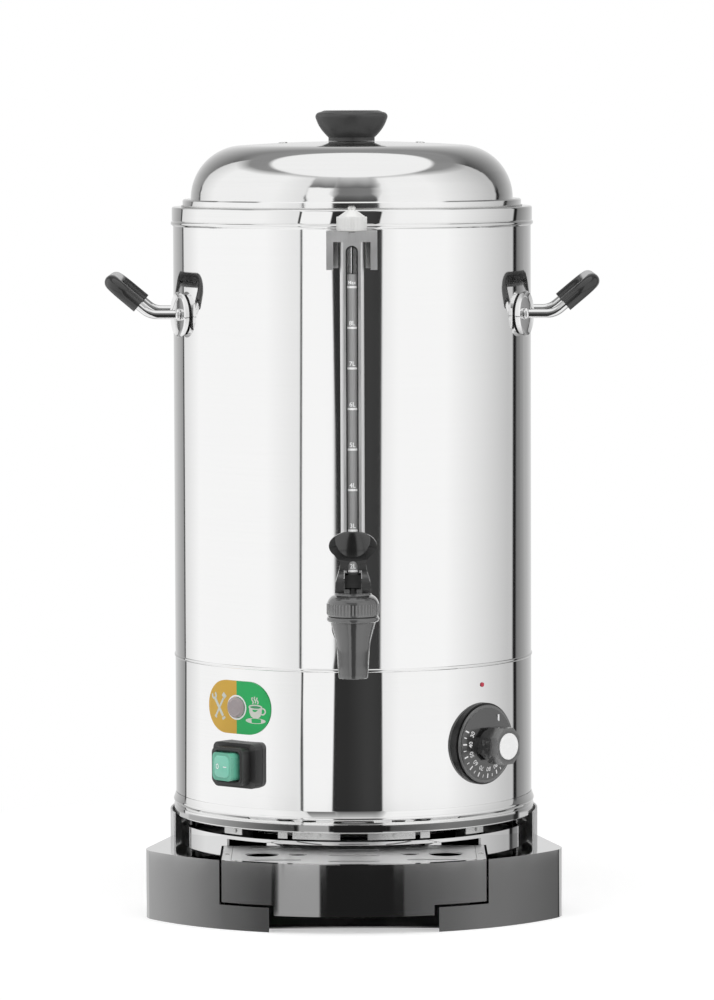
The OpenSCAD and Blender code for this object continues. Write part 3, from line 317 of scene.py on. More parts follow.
MATS = {
    "base_steel": steel("base_steel_mat", 0.80, 0.026, "across", grain=0.4, ripple=0.1, wear_and_sheen=0.1),
    "jacket_steel": steel("jacket_steel_mat", 0.90, 0.020, "round", grain=0.5, ripple=0.06, warm=0.004),
    "lid_steel": steel("lid_steel_mat", 0.88, 0.060, "rings", grain=0.6, ripple=0.10, warm=0.004),
    "pot_steel": steel("pot_steel_mat", 0.72, 0.22, "round", grain=2.0, warm=0.01),
    "polished_steel": steel("polished_steel_mat", 0.86, 0.06, "round", grain=0.8, ripple=0.2),
    "plated_steel": steel("plated_steel_mat", 0.62, 0.20, "across", ripple=0.3, warm=0.01),
    "element_sheath": steel("element_sheath_mat", 0.34, 0.38, "round", grain=3.0, warm=0.02),
    "copper_tube": material("copper_tube_mat", lambda n: {
        "Base_Color": n.mix(n.noise(n.place(), 160.0, detail=4.0),
                            (0.62, 0.27, 0.14, 1.0), (0.86, 0.45, 0.28, 1.0)),
        "Roughness": 0.22 + 0.2 * n.noise(n.place(), 90.0)}, Metallic=1.0),
    "brass_fitting": material("brass_fitting_mat", lambda n: {
        "Base_Color": n.mix(n.noise(n.place(), 200.0, detail=4.0),
                            (0.62, 0.44, 0.16, 1.0), (0.84, 0.64, 0.30, 1.0)),
        "Roughness": 0.2 + 0.2 * n.noise(n.place(), 120.0)}, Metallic=1.0),
    "ceramic_body": plastic("ceramic_body_mat", rgb(226, 220, 205), 0.5, grain=0.00002, fine=500.0),
    "black_matte_plastic": plastic("black_matte_plastic_mat", grey(0.030), 0.42, grain=0.00003, fine=1100.0,
                                   wear_and_sheen=0.5, lift=3.0),
    "tap_plastic": plastic("tap_plastic_mat", grey(0.062), 0.15, grain=0.000004, wear_and_sheen=0.6, lift=4.0,
                           Coat_Weight=1.0, Coat_Roughness=0.08, Specular_IOR_Level=1.0),
    "grip_plastic": plastic("grip_plastic_mat", grey(0.018), 0.16, grain=0.000005, wear_and_sheen=0.4, lift=3.0,
                            Specular_IOR_Level=0.7),
    "knob_plastic": plastic("knob_plastic_mat", grey(0.052), 0.34, fine=1000.0, wear_and_sheen=0.3, lift=2.0),
    "dial_plastic": dial_face(),
    # White plastic glows a little: painted light, as it is no lamp
    "white_plastic": plastic("white_plastic_mat", grey(0.95), 0.30, grain=0.000006, lift=1.0,
                             Emission_Color=grey(1.0), Emission_Strength=0.10),
    "cap_nylon": plastic("cap_nylon_mat", rgb(238, 238, 236), 0.22, grain=0.00003, fine=700.0, wear_and_sheen=0.6,
                         lift=1.1, Coat_Weight=0.8, Coat_Roughness=0.08),
    "green_rocker": plastic("green_rocker_mat", rgb(100, 186, 158), 0.20, grain=0.000005, wear_and_sheen=0.6, lift=1.2,
                            Coat_Weight=0.6, Coat_Roughness=0.08),
    "indicator_film": indicator(),
    "lamp_lens": plastic("lamp_lens_mat", rgb(214, 202, 204), 0.14, fine=500.0, wear_and_sheen=0.5, lift=1.1,
                         Transmission_Weight=0.45, IOR=1.49, Coat_Weight=0.5, Coat_Roughness=0.05),
    "red_dot": plastic("red_dot_mat", rgb(196, 52, 74), 0.35),
    "clear_tube": material("clear_tube_mat", lambda n: {
        "Base_Color": n.mix(n.noise(n.place(30, 30, 4), 6.0), grey(0.93), grey(0.99)),
        "Roughness": 0.02 + 0.05 * n.noise(n.place(60, 60, 8), 8.0)}, Transmission_Weight=1.0, IOR=1.47),
    "silicone_seal": plastic("silicone_seal_mat", rgb(224, 222, 212), 0.45),
    "gasket_rubber": plastic("gasket_rubber_mat", grey(0.035), 0.6, grain=0.00002, fine=700.0),
    "foot_rubber": plastic("foot_rubber_mat", grey(0.028), 0.65, grain=0.00003, fine=700.0),
}
# The white print glows a little: painted light, as print is no lamp
PRINT = plastic("white_print_mat", grey(0.92), 0.4, grain=0.000004, Emission_Color=grey(1.0),
                Emission_Strength=0.12)
# The gauge's print glows more strongly: painted light on marks that sit in the guard's shade
GAUGE_PRINT = plastic("gauge_print_mat", grey(0.92), 0.4, grain=0.000004, Emission_Color=grey(1.0),
                      Emission_Strength=0.32)
GUARD_STEEL = steel("guard_steel_mat", 0.74, 0.36, "upright", grain=0.6, ripple=0.2, streak=0.16)
# Near-black steel: on the tap's stem it is painted shade
DARKENED_STEEL = steel("darkened_steel_mat", 0.10, 0.34, "round", ripple=0.3)
TRAY_STEEL = steel("tray_steel_mat", 0.86, 0.34, "across", grain=0.8, ripple=0.2, wear_and_sheen=0.2, metal=0.62)
# Near-black lines: painted shade round the gauge slot and on the tube
PAINTED_DARK_LINES = plastic("painted_dark_line_mat", grey(0.010), 0.5)
ICON = plastic("icon_print_mat", rgb(222, 226, 216), 0.36, grain=0.000004)
CUP_DARK = plastic("cup_fill_mat", rgb(70, 158, 108), 0.36, grain=0.000004)
# A paler copy of the rocker's green for its top: painted light falling on the top
LIT_ROCKER_PAD = plastic("lit_rocker_pad_mat", rgb(134, 220, 194), 0.22, grain=0.000006, wear_and_sheen=0.5, lift=1.1,
                     Coat_Weight=0.6, Coat_Roughness=0.06)
# The film glows faintly: painted light
FILM = material("gauge_film_mat", lambda n: {
    "Base_Color": n.mix(n.noise(n.place(700, 700, 12)), grey(0.34), grey(0.62)),
    "Roughness": 0.25 + 0.1 * n.noise(n.place(), 300.0),
    "Alpha": 0.82 + 0.08 * n.noise(n.place(500, 500, 10), 2.0)}, IOR=1.45, Emission_Color=grey(1.0),
    Emission_Strength=0.05)

# The material slot of each node
SLOT_OF = {}
for slot_name, names in {
    "base_steel": "stand_shell stand_back stand_floor stand_ring tray_runners tray_pan tray_strips"
                  " drip_grille base_plate",
    "jacket_steel": "base_ring heater_housing outer_jacket rim_band",
    "lid_steel": "lid_dome lid_flange",
    "pot_steel": "inner_pot pot_floor",
    "polished_steel": "gauge_guard gauge_bracket gauge_nut handle_rods handle_escutcheons",
    "plated_steel": "tray_rivets base_lugs base_screws element_clamps dial_spindle lid_screw tap_stem"
                    " tap_spring tap_pin handle_nuts",
    "element_sheath": "heating_element",
    "copper_tube": "sensor_bulb",
    "brass_fitting": "inlet_pins tap_nut",
    "ceramic_body": "thermostat terminal_block lamp_body",
    "black_matte_plastic": "thermal_cutout mains_inlet switch_body dial_ring",
    "tap_plastic": "tap_body tap_bonnet tap_lever",
    "grip_plastic": "handle_grips",
    "knob_plastic": "lid_knob",
    "dial_plastic": "dial_knob",
    "white_plastic": "dial_cap",
    "cap_nylon": "gauge_cap",
    "green_rocker": "switch_rocker",
    "indicator_film": "indicator_plate",
    "lamp_lens": "indicator_lamp",
    "red_dot": "index_dot",
    "clear_tube": "gauge_tube",
    "silicone_seal": "gauge_seals tap_washers seat_cup",
    "gasket_rubber": "handle_gaskets",
    "foot_rubber": "urn_feet",
}.items():
    for node in names.split():
        SLOT_OF[node] = slot_name

# Nodes whose finish differs from the rest of their slot
OWN_FINISH = {
    "gauge_guard": GUARD_STEEL,
    "gauge_bracket": GUARD_STEEL,
    "drip_grille": TRAY_STEEL,
    "tray_strips": TRAY_STEEL,
    "stand_back": steel("back_wall_mat", 0.88, 0.46, "across", grain=0.8, ripple=0.3, wear_and_sheen=0.2),
    # The tap's stem is given near-black steel as painted shade
    "tap_stem": DARKENED_STEEL,
    "gauge_nut": DARKENED_STEEL,
    "tap_lever": plastic("lever_plastic_mat", grey(0.016), 0.20, grain=0.000004, wear_and_sheen=0.6, lift=4.0,
                         Coat_Weight=0.6, Coat_Roughness=0.10, Specular_IOR_Level=0.6),
    "dial_ring": plastic("dial_ring_mat", grey(0.007), 0.30, fine=1000.0, wear_and_sheen=0.2, lift=2.0),
}


# An edge that bends more than this stays sharp
CREASE = math.radians(30)


def rolled():
    """Welds a solid's facets and shades it smooth, but for its sharp edges."""
    tree = bpy.data.node_groups.new("rolled_surface", "GeometryNodeTree")
    for side in ("INPUT", "OUTPUT"):
        tree.interface.new_socket("Geometry", in_out=side, socket_type="NodeSocketGeometry")
    n = Nodes(tree)
    welded = n.add("GeometryNodeMergeByDistance", Geometry=n.add("NodeGroupInput"), Distance=0.000002)
    plain = n.add("GeometryNodeRemoveAttribute", Geometry=welded, Name="custom_normal")
    smooth = n.add("GeometryNodeSetShadeSmooth", {"domain": "FACE"}, Geometry=plain)
    gentle = n.add("GeometryNodeInputMeshEdgeAngle", output="Unsigned Angle").below(CREASE)
    done = n.add("GeometryNodeSetShadeSmooth", {"domain": "EDGE"}, Geometry=smooth, Shade_Smooth=gentle)
    n.add("NodeGroupOutput", Geometry=done)
    return tree


ROLLED = rolled()
# Nodes with round or bent surfaces
TURNED = ("lid_dome lid_flange lid_knob base_ring rim_band outer_jacket heater_housing tap_body"
          " handle_escutcheons handle_rods handle_grips gauge_cap stand_shell stand_back").split()
for node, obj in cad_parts.items():
    obj.data.materials.clear()
    obj.data.materials.append(OWN_FINISH.get(node) or MATS[SLOT_OF[node]])
    if node in TURNED:
        obj.modifiers.new("rolled_surface", "NODES").node_group = ROLLED
        flats = obj.modifiers.new("flat_faces", "WEIGHTED_NORMAL")
        flats.keep_sharp = True


# ---- Mesh building ----

def piece(name, shape, mat, body, smooth=False):
    """One new piece: a mesh in the row frame that rides on a body."""
    mesh = bpy.data.meshes.new(name)
    mesh.from_pydata([tuple(v) for v in shape.verts], [], shape.faces)
    mesh.validate()
    for face in mesh.polygons:
        face.use_smooth = smooth
    obj = bpy.data.objects.new(name, mesh)
    bpy.context.scene.collection.objects.link(obj)
    mesh.materials.append(mat)
    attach(obj, body)
    return obj


def on_wall(angle, z):
    """From a place's own frame (x round the wall, y up, z outwards) to the row frame."""
    a = math.radians(angle)
    right = Vector((math.cos(a), math.sin(a), 0))
    up = Vector((0, 0, 1))
    out = Vector((math.sin(a), -math.cos(a), 0))
    m = Matrix((right, up, out)).transposed().to_4x4()
    m.translation = out * JACKET_R + up * z
    return m


def walls(rings):
    """Vertices and quads of a skin through closed rings of equally many points."""
    count = len(rings[0])
    faces = []
    for low in range(0, (len(rings) - 1) * count, count):
        for k in range(count):
            beside = (k + 1) % count
            faces.append([low + k, low + beside, low + count + beside, low + count + k])
    return [point for ring in rings for point in ring], faces


class Shape:
    """Gathers vertices and faces for one piece."""

    def __init__(self):
        self.verts, self.faces = [], []

    def add(self, verts, faces, place=Matrix.Identity(4)):
        start = len(self.verts)
        self.verts += [place @ Vector(v) for v in verts]
        self.faces += [[start + i for i in face] for face in faces]
        return self

    def lathe(self, profile, steps, place=Matrix.Identity(4)):
        """Turns a closed section of (radius, height) points about the place's z."""
        n = len(profile)
        verts = [(r * math.cos(2 * math.pi * i / steps), r * math.sin(2 * math.pi * i / steps), h)
                 for i in range(steps) for r, h in profile]
        faces = []
        for i in range(steps):
            here, there = i * n, ((i + 1) % steps) * n
            faces += [[here + k, there + k, there + (k + 1) % n, here + (k + 1) % n] for k in range(n)]
        return self.add(verts, faces, place)

    def rod(self, points, radius, steps):
        """A closed tube of round section along points."""
        rings, n = [], len(points)
        points = [Vector(p) for p in points]
        side = None
        for i, p in enumerate(points):
            ahead = (points[min(i + 1, n - 1)] - points[max(i - 1, 0)]).normalized()
            if side is None:
                side = ahead.orthogonal().normalized()
            side = (side - ahead * side.dot(ahead)).normalized()
            up = ahead.cross(side)
            rings.append([p + side * (radius * math.cos(t)) + up * (radius * math.sin(t))
                          for t in [2 * math.pi * k / steps for k in range(steps)]])
        verts, faces = walls(rings)
        faces += [list(range(steps - 1, -1, -1)), list(range((n - 1) * steps, n * steps))]
        return self.add(verts, faces)

    def bend(self, rule):
        """Moves every point by a rule."""
        self.verts = [Vector(rule(*v)) for v in self.verts]
        return self


def rounded(w, h, r, steps=8):
    """A rectangle with round corners, centred, counter-clockwise."""
    out = []
    for cx, cy, start in ((1, 1, 0), (-1, 1, 90), (-1, -1, 180), (1, -1, 270)):
        for i in range(steps + 1):
            a = math.radians(start + 90 * i / steps)
            out.append((cx * (w / 2 - r) + r * math.cos(a), cy * (h / 2 - r) + r * math.sin(a)))
    return out


def strip(points, width):
    """Quads along a flat line of (x, y) points."""
    verts, faces = [], []
    n = len(points)
    for i, (x, y) in enumerate(points):
        ax, ay = points[max(i - 1, 0)]
        bx, by = points[min(i + 1, n - 1)]
        length = math.hypot(bx - ax, by - ay) or 1.0
        nx, ny = -(by - ay) / length * width / 2, (bx - ax) / length * width / 2
        verts += [(x + nx, y + ny, 0), (x - nx, y - ny, 0)]
    for i in range(n - 1):
        faces.append([2 * i + 1, 2 * i + 3, 2 * i + 2, 2 * i])
    return verts, faces


def ring_strip(cx, cy, r, width, start=0, end=360, steps=28, ry=None):
    """Quads along an arc, round or oval."""
    angles = [math.radians(start + (end - start) * i / steps) for i in range(steps + 1)]
    return strip([(cx + r * math.cos(a), cy + (ry or r) * math.sin(a)) for a in angles], width)


def oval(cx, cy, rx, ry):
    """A flat oval, as vertices and one face."""
    angles = [math.radians(t) for t in range(0, 360, 12)]
    return [(cx + rx * math.cos(a), cy + ry * math.sin(a), 0) for a in angles], [list(range(len(angles)))]


def words(text, size):
    """Vertices and faces of flat lettering, centred on the origin."""
    curve = bpy.data.curves.new("words", "FONT")
    curve.body = text
    curve.size = size
    curve.align_x, curve.align_y = "CENTER", "CENTER"
    curve.offset = size * 0.012
    curve.resolution_u = 3
    obj = bpy.data.objects.new("words", curve)
    bpy.context.scene.collection.objects.link(obj)
    mesh = bpy.data.meshes.new_from_object(obj.evaluated_get(bpy.context.evaluated_depsgraph_get()))
    verts = [tuple(v.co) for v in mesh.vertices]
    faces = [list(p.vertices) for p in mesh.polygons]
    bpy.data.objects.remove(obj)
    bpy.data.curves.remove(curve)
    bpy.data.meshes.remove(mesh)
    return verts, faces


# ---- Level gauge ----

def on_tube(out):
    """Wraps flat print round the front of the gauge tube."""
    r = TUBE_R + out

    def rule(x, y, z):
        a = x / r
        return (r * math.sin(a), -GAUGE_Y - r * math.cos(a), y)
    return rule


# How far the film and the prints stand off the tube
FILM_UP, STRIPE_UP, MARKS_UP = 0.00006, 0.00010, 0.00016
FILM_LOW, FILM_TOP, FILM_W = 0.2255, 0.4245, 0.0074
cols, rows = 12, 40
film = Shape()
film.add([((c / cols - 0.5) * FILM_W, FILM_LOW + (FILM_TOP - FILM_LOW) * r / rows, 0)
          for r in range(rows + 1) for c in range(cols + 1)],
         [[start, start + 1, start + cols + 2, start + cols + 1]
          for r in range(rows) for start in range(r * (cols + 1), r * (cols + 1) + cols)])
film.bend(on_tube(FILM_UP))
piece("gauge_film", film, FILM, "urn", True)

# A line and its litres at each mark, the highest with its word
LITRES, LINE_W, LINE_T = 9, 0.0068, 0.0013
WORD_RISE, LITRE_SIZE, MAX_SIZE = 0.0029, 0.0042, 0.0032
marks = Shape()
for i in range(8):
    z = MAX_Z - LITRE * i
    marks.add(*strip([((k / 12 - 0.5) * LINE_W, z) for k in range(13)], LINE_T))
    verts, faces = words(f"{LITRES - i}L", LITRE_SIZE) if i else words("Max", MAX_SIZE)
    marks.add([(x, y + z + WORD_RISE, 0) for x, y, _ in verts], faces)
marks.bend(on_tube(MARKS_UP))
piece("gauge_marks", marks, GAUGE_PRINT, "urn")

# A dark stripe on the tube above the film: painted shade, for the dark line the clear tube shows there
STRIPE_X, STRIPE_LOW, STRIPE_STEP, STRIPE_W = 0.0004, FILM_TOP + 0.0001, 0.0006, 0.0010
stripe = Shape().add(*strip([(STRIPE_X, STRIPE_LOW + STRIPE_STEP * i) for i in range(30)], STRIPE_W))
stripe.bend(on_tube(STRIPE_UP))
piece("gauge_stripe", stripe, PAINTED_DARK_LINES, "urn")

# A thin black rod round the guard's viewing slot: painted shade in the gap at the slot's edge
SHADE_LINE_R, SHADE_LINE_LOW = 0.00052, 0.2250
half = SLOT_W / 2 - 0.00015
front_y = 0.00028 - GUARD_FRONT
arch_z = SLOT_TOP - half
side = [(half, front_y, SHADE_LINE_LOW + (arch_z - SHADE_LINE_LOW) * i / 20) for i in range(20)]
arch = [(half * math.cos(math.radians(a)), front_y, arch_z + half * math.sin(math.radians(a)))
        for a in range(0, 181, 10)]
slot_shade = Shape().rod(side + arch + [(-x, y, z) for x, y, z in reversed(side)], SHADE_LINE_R, 8)
piece("slot_shade_line", slot_shade, PAINTED_DARK_LINES, "urn", True)


# ---- Foot ring, tap spring and the gauge cap's ribs ----

def arc(r, h, radius, start, end, steps):
    """Points of an arc in a section, as (radius, height)."""
    angles = [math.radians(start + (end - start) * i / steps) for i in range(steps + 1)]
    return [(r + radius * math.cos(a), h + radius * math.sin(a)) for a in angles]


# The foot's ring: a flat band, a groove and a rolled bead under the housing, with a collar inside it
FLANGE_W, CORNER_R, ROLL_R = 0.0138, 0.0006, 0.0019
low, high = (Vector(corner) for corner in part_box("base_ring"))
out_r = high.x
collar_r = JACKET_R - SHEET_T - FIT_GAP
flange_r = out_r - FLANGE_W
section = ([(flange_r, 0.0), (out_r - CORNER_R, 0.0)]
           + arc(out_r - CORNER_R, CORNER_R, CORNER_R, -75, -15, 4)
           + [(out_r, 0.0009), (out_r, FOOT_H * 0.41), (out_r - 0.0002, FOOT_H * 0.425),
              (out_r - 0.0010, FOOT_H * 0.45)]
           + arc(out_r - 0.0016, FOOT_H * 0.66, ROLL_R, -40, 40, 12)
           + [(JACKET_R, FOOT_H), (collar_r, FOOT_H), (collar_r, FOOT_H + COLLAR_RISE),
              (collar_r - SHEET_T, FOOT_H + COLLAR_RISE), (collar_r - SHEET_T, FOOT_FLANGE_T),
              (flange_r, FOOT_FLANGE_T)])
foot = Shape().lathe(section, 288, Matrix.Translation((0, 0, low.z)))
foot_ring = piece("foot_ring", foot, MATS["jacket_steel"], "urn", True)
foot_ring.modifiers.new("rolled_surface", "NODES").node_group = ROLLED
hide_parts("base_ring")

# The tap's spring, as a fixed coil: the real one shortens as the stem rises
low, high = (Vector(corner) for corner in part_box("tap_spring"))
middle_y = (low.y + high.y) / 2
coil_r = (high.x - low.x - SPRING_WIRE) / 2
length = high.z - low.z - SPRING_WIRE
steps = 24
turns = []
for i in range(steps * SPRING_TURNS + 1):
    a = 2 * math.pi * i / steps
    turns.append((coil_r * math.cos(a), middle_y + coil_r * math.sin(a),
                  low.z + SPRING_WIRE / 2 + length * i / (steps * SPRING_TURNS)))
coil = Shape().rod(turns, SPRING_WIRE / 2, 8)
spring_coils = piece("spring_coils", coil, MATS["plated_steel"], "urn", True)
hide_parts("tap_spring")
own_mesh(spring_coils)

# Fine ribs round the gauge tube's cap
RIBS, RIBS_AT, RIB_H, RIB_R = 64, 0.00974, 0.0082, 0.00017
ribs = Shape()
cap_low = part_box("gauge_cap")[0]
for k in range(RIBS):
    a = 2 * math.pi * k / RIBS
    x, y = RIBS_AT * math.cos(a), RIBS_AT * math.sin(a) - GAUGE_Y
    ribs.rod([(x, y, cap_low[2] + 0.0004 + RIB_H * i / 4) for i in range(5)], RIB_R, 6)
piece("cap_ribs", ribs, MATS["cap_nylon"], "gauge_top", True)


# ---- Temperature dial ----

def skirt_top(r):
    """How far the skirt's print stands above the jacket at one radius."""
    return SKIRT_UP + max(0.0, SKIRT_R - r) * SKIRT_RISE + PRINT_UP


# Marks every 5 degrees, and every 10 a long one with its number. Inner radius, outer radius and width
LONG_MARK, SHORT_MARK = (0.0196, 0.0226, 0.0010), (0.0203, 0.0223, 0.0006)
SCALE_START, SCALE_STEP, SCALE_MARKS = 153, 11.8, 17
NUMBER_R, NUMBER_SIZE, PRINT_UP = 0.0164, 0.0041, 0.00012
on_dial = on_wall(*DIAL)
scale = Shape()
for i in range(SCALE_MARKS):
    a = math.radians(SCALE_START + SCALE_STEP * i)
    inner, outer, width = SHORT_MARK if i % 2 else LONG_MARK
    c, s = math.cos(a), math.sin(a)
    corners = [(r * c - side * width / 2 * s, r * s + side * width / 2 * c, skirt_top(r))
               for r in (inner, outer) for side in (-1, 1)]
    scale.add(corners, [[0, 2, 3, 1]], on_dial)
    if i % 2 == 0:
        verts, faces = words(str(30 + 5 * i), NUMBER_SIZE)
        turned = [(NUMBER_R * c + x * s + y * c, NUMBER_R * s - x * c + y * s) for x, y, _ in verts]
        scale.add([(x, y, skirt_top(math.hypot(x, y))) for x, y in turned], faces, on_dial)

# The upright mark at the off position
OFF_ANGLE, OFF_R, OFF_W, OFF_H = 58, 0.0196, 0.0016, 0.0044
off = math.radians(OFF_ANGLE)
corners = [(OFF_R * math.cos(off) + OFF_W / 2 * dx, OFF_R * math.sin(off) + OFF_H / 2 * dy,
            skirt_top(OFF_R) + 0.0002) for dx, dy in ((-1, -1), (1, -1), (1, 1), (-1, 1))]
scale.add(corners, [[0, 1, 2, 3]], on_dial)
piece("dial_scale", scale, PRINT, "dial")

# A lip round the dial's ring
lip = Shape().lathe([(0.0238, 0.0024), (0.0256, 0.0024), (0.0258, 0.0027), (0.0258, 0.0036), (0.0254, 0.0040),
                     (0.0238, 0.0041)], 96, on_dial)
piece("dial_lip", lip, MATS["dial_plastic"], "dial", True)


# ---- Rocker switch ----

rock = on_wall(*SWITCH) @ Matrix.Translation((0, 0, ROCKER_PIN_N)) @ Matrix.Rotation(
    math.radians(-ROCKER_TILT), 4, "Y")
top = ROCKER_TOP - ROCKER_PIN_N
# Width, height and rise of the pad's outlines
sizes = [(0.0150, 0.0145, 0.0), (0.0146, 0.0141, 0.00035), (0.0134, 0.0129, 0.00055)]
rings = [[(x, y, top + up) for x, y in rounded(w, h, w * 0.28)] for w, h, up in sizes]
verts, faces = walls(rings)
faces.append(list(range(len(verts) - len(rings[-1]), len(verts))))
pad = Shape().add(verts, faces, rock)
# The pad's paler green is painted light on the rocker's top
piece("rocker_pad", pad, LIT_ROCKER_PAD, "rocker", True)

# The signs for off and on, a ring and a bar
SIGN_UP = 0.00062
sign = Shape()
for verts, faces in (ring_strip(-0.0038, 0, 0.0011, 0.00055, ry=0.0015),
                     strip([(0.0020, 0), (0.0052, 0)], 0.0006)):
    sign.add([(x, y, top + SIGN_UP) for x, y, _ in verts], faces, rock)
piece("rocker_signs", sign, PRINT, "rocker")

# The soft boot round the rocker: width, height, corner and rise of its outlines
sizes = [(0.0236, 0.0228, 0.0030, 0.0131), (0.0228, 0.0220, 0.0031, 0.0138),
         (0.0213, 0.0206, 0.0034, 0.0136), (0.0205, 0.0199, 0.0036, 0.0106)]
rings = [[(x, y, up) for x, y in rounded(w, h, r)] for w, h, r, up in sizes]
boot = Shape().add(*walls(rings), on_wall(*SWITCH))
piece("switch_boot", boot, MATS["black_matte_plastic"], "urn", True)


# ---- Indicator plate ----

def on_plate(out):
    """Wraps flat artwork round the housing over the indicator plate."""
    r = JACKET_R + PLATE_UP + out

    def rule(x, y, z):
        a = math.radians(LAMP[0]) + x / r
        return (r * math.sin(a), -r * math.cos(a), LAMP[1] + y)
    return rule


CUP_X = 0.01555
BEZEL_UP, ICON_UP, DRINK_UP = 0.00006, 0.00008, 0.00014
icons = Shape()
# A spanner and a screwdriver, crossed
icons.add(*strip([(-0.0204 + 0.0009 * i, 0.0052 - 0.0013 * i) for i in range(10)], 0.0021))
icons.add(*strip([(-0.0119 - 0.0008 * i, 0.0052 - 0.0013 * i) for i in range(10)], 0.0015))
icons.add(*ring_strip(-0.0209, 0.0066, 0.0019, 0.0015, 150, 430))
icons.add(*strip([(-0.0122, 0.0060), (-0.0102, 0.0082)], 0.0036))
icons.add(*strip([(-0.0120, -0.0071), (-0.0112, -0.0085)], 0.0030))
icons.add(*strip([(-0.0190, -0.0066), (-0.0196, -0.0078)], 0.0024))
# A cup on its saucer
cup = [(0.0104, 0.0010), (0.0107, -0.0025), (0.0120, -0.0052), (0.0142, -0.0064), (0.0170, -0.0064),
       (0.0192, -0.0052), (0.0204, -0.0025), (0.0207, 0.0010)]
icons.add([(x, y, 0) for x, y in cup], [list(range(len(cup)))])
icons.add(*ring_strip(CUP_X, 0.0010, 0.0050, 0.0009, ry=0.0013))
icons.add(*ring_strip(0.0211, -0.0016, 0.0020, 0.0010, -120, 100))
icons.add(*oval(CUP_X, -0.0080, 0.0078, 0.0019))
for k, steam_z in ((-1, 0.0032), (0, 0.0037), (1, 0.0032)):
    steam = [(0.0152 + 0.0019 * k + 0.0006 * math.sin(0.9 * i), steam_z + 0.0006 * i) for i in range(8)]
    icons.add(*strip(steam, 0.0009))
icons.bend(on_plate(ICON_UP))
piece("indicator_icons", icons, ICON, "urn")
drink = Shape().add(*oval(CUP_X, 0.0010, 0.0042, 0.0008)).bend(on_plate(DRINK_UP))
piece("indicator_drink", drink, CUP_DARK, "urn")
bezel = Shape().add(*ring_strip(0, 0, 0.0077, 0.0011, steps=48)).bend(on_plate(BEZEL_UP))
piece("lamp_bezel", bezel, MATS["white_plastic"], "urn")

# Rings pressed into the lamp's lens
LENS_R, LENS_UP, LENS_RINGS = 0.0054, 0.0033, 12
profile = [(LENS_R, 0.0)]
profile += [(LENS_R * (1 - i / LENS_RINGS), 0.00022 if i % 2 else 0.00004) for i in range(1, LENS_RINGS)]
profile += [(0.0001, 0.00022), (0.0001, -0.0002), (LENS_R, -0.0002)]
facets = Shape().lathe([(r, h + LENS_UP) for r, h in profile], 40, on_wall(*LAMP))
piece("lamp_facets", facets, MATS["lamp_lens"], "urn")


# ---- Lid ----

# A rolled edge round each steam vent
rims = Shape()
z = CROWN_Z + math.sqrt(CROWN_R ** 2 - VENT_R ** 2)
for s in (-1, 1):
    place = Matrix.Translation((s * VENT_R, 0, z)) @ Matrix.Rotation(s * math.asin(VENT_R / CROWN_R), 4, "Y")
    rims.lathe([(0.0020, -0.0006), (0.0019, 0.0002), (0.0023, 0.0005), (0.0029, 0.0003), (0.0032, -0.0001)],
               32, place)
piece("vent_rims", rims, MATS["lid_steel"], "lid", True)


# ---- Handles ----

# A small collar where each leg meets its plate
collar = [(0.00302, -0.0015), (0.0040, -0.0015), (0.0041, 0.0002), (0.0036, 0.0010), (0.00302, 0.0012)]
COLLAR_OUT = 0.0035
x = math.sqrt(JACKET_R ** 2 - LEG_Y ** 2) + COLLAR_OUT
collars = Shape()
for s in (-1, 1):
    for y in (-LEG_Y, LEG_Y):
        place = Matrix.Translation((s * x, y, HANDLE_Z)) @ Matrix.Rotation(s * math.pi / 2, 4, "Y")
        collars.lathe(collar, 32, place)
piece("handle_collars", collars, MATS["polished_steel"], "urn", True)


# ---- Jacket seams and rear ----

# The welds down the back of the jacket and, beside the inlet, of the housing
HOUSING_WELD_X, HOUSING_LOW, WELD_R = 0.062, 0.0765, 0.0005
seam = Shape()
for x, low, high in ((0.0, SEAM_Z + 0.003, JACKET_TOP - 0.002),
                     (HOUSING_WELD_X, HOUSING_LOW, SEAM_Z - 0.002)):
    y = math.sqrt(JACKET_R ** 2 - x ** 2) - 0.0002
    seam.rod([(x, y, low + (high - low) * i / 60) for i in range(61)], WELD_R, 8)
piece("weld_seams", seam, MATS["jacket_steel"], "urn", True)

# A bead round the jacket where it meets the housing: how far it stands out at each height
bead = Shape().lathe([(JACKET_R + out, SEAM_Z + up) for out, up in (
    (-0.0002, -0.0013), (0.00025, -0.0010), (0.00055, -0.0005), (0.0006, 0.0), (0.00055, 0.0005),
    (0.00025, 0.0010), (-0.0002, 0.0013))], 240)
piece("seam_bead", bead, MATS["jacket_steel"], "urn", True)

# A screw on each side of the inlet
screw = [(0.0001, 0.0016), (0.0018, 0.0014), (0.0029, 0.0007), (0.0031, -0.0002), (0.0001, -0.0002)]
SCREW_TURN, SCREW_Z = 11.5, 0.104
screws = Shape()
for angle in (180 - SCREW_TURN, 180 + SCREW_TURN):
    screws.lathe(screw, 28, on_wall(angle, SCREW_Z))
piece("inlet_screws", screws, MATS["plated_steel"], "urn", True)

# Level lines pressed into the pot's back
LEVEL_LINE_R = 0.0004
levels = Shape()
r = POT_R - 0.0001
for z, half in ((MAX_Z, 24), (MAX_Z - 7 * LITRE, 14)):
    angles = [math.radians(a) for a in range(-half, half + 1, 2)]
    levels.rod([(r * math.sin(a), r * math.cos(a), z) for a in angles], LEVEL_LINE_R, 6)
piece("pot_level_lines", levels, MATS["pot_steel"], "urn", True)


# ---- Studio ----

def seen(n):
    """Three values: 1 on the camera's rays, on mirrored ones, and on those through clear pieces."""
    return [n.add("ShaderNodeLightPath", output=f"Is {ray} Ray")
            for ray in ("Camera", "Glossy", "Transmission")]


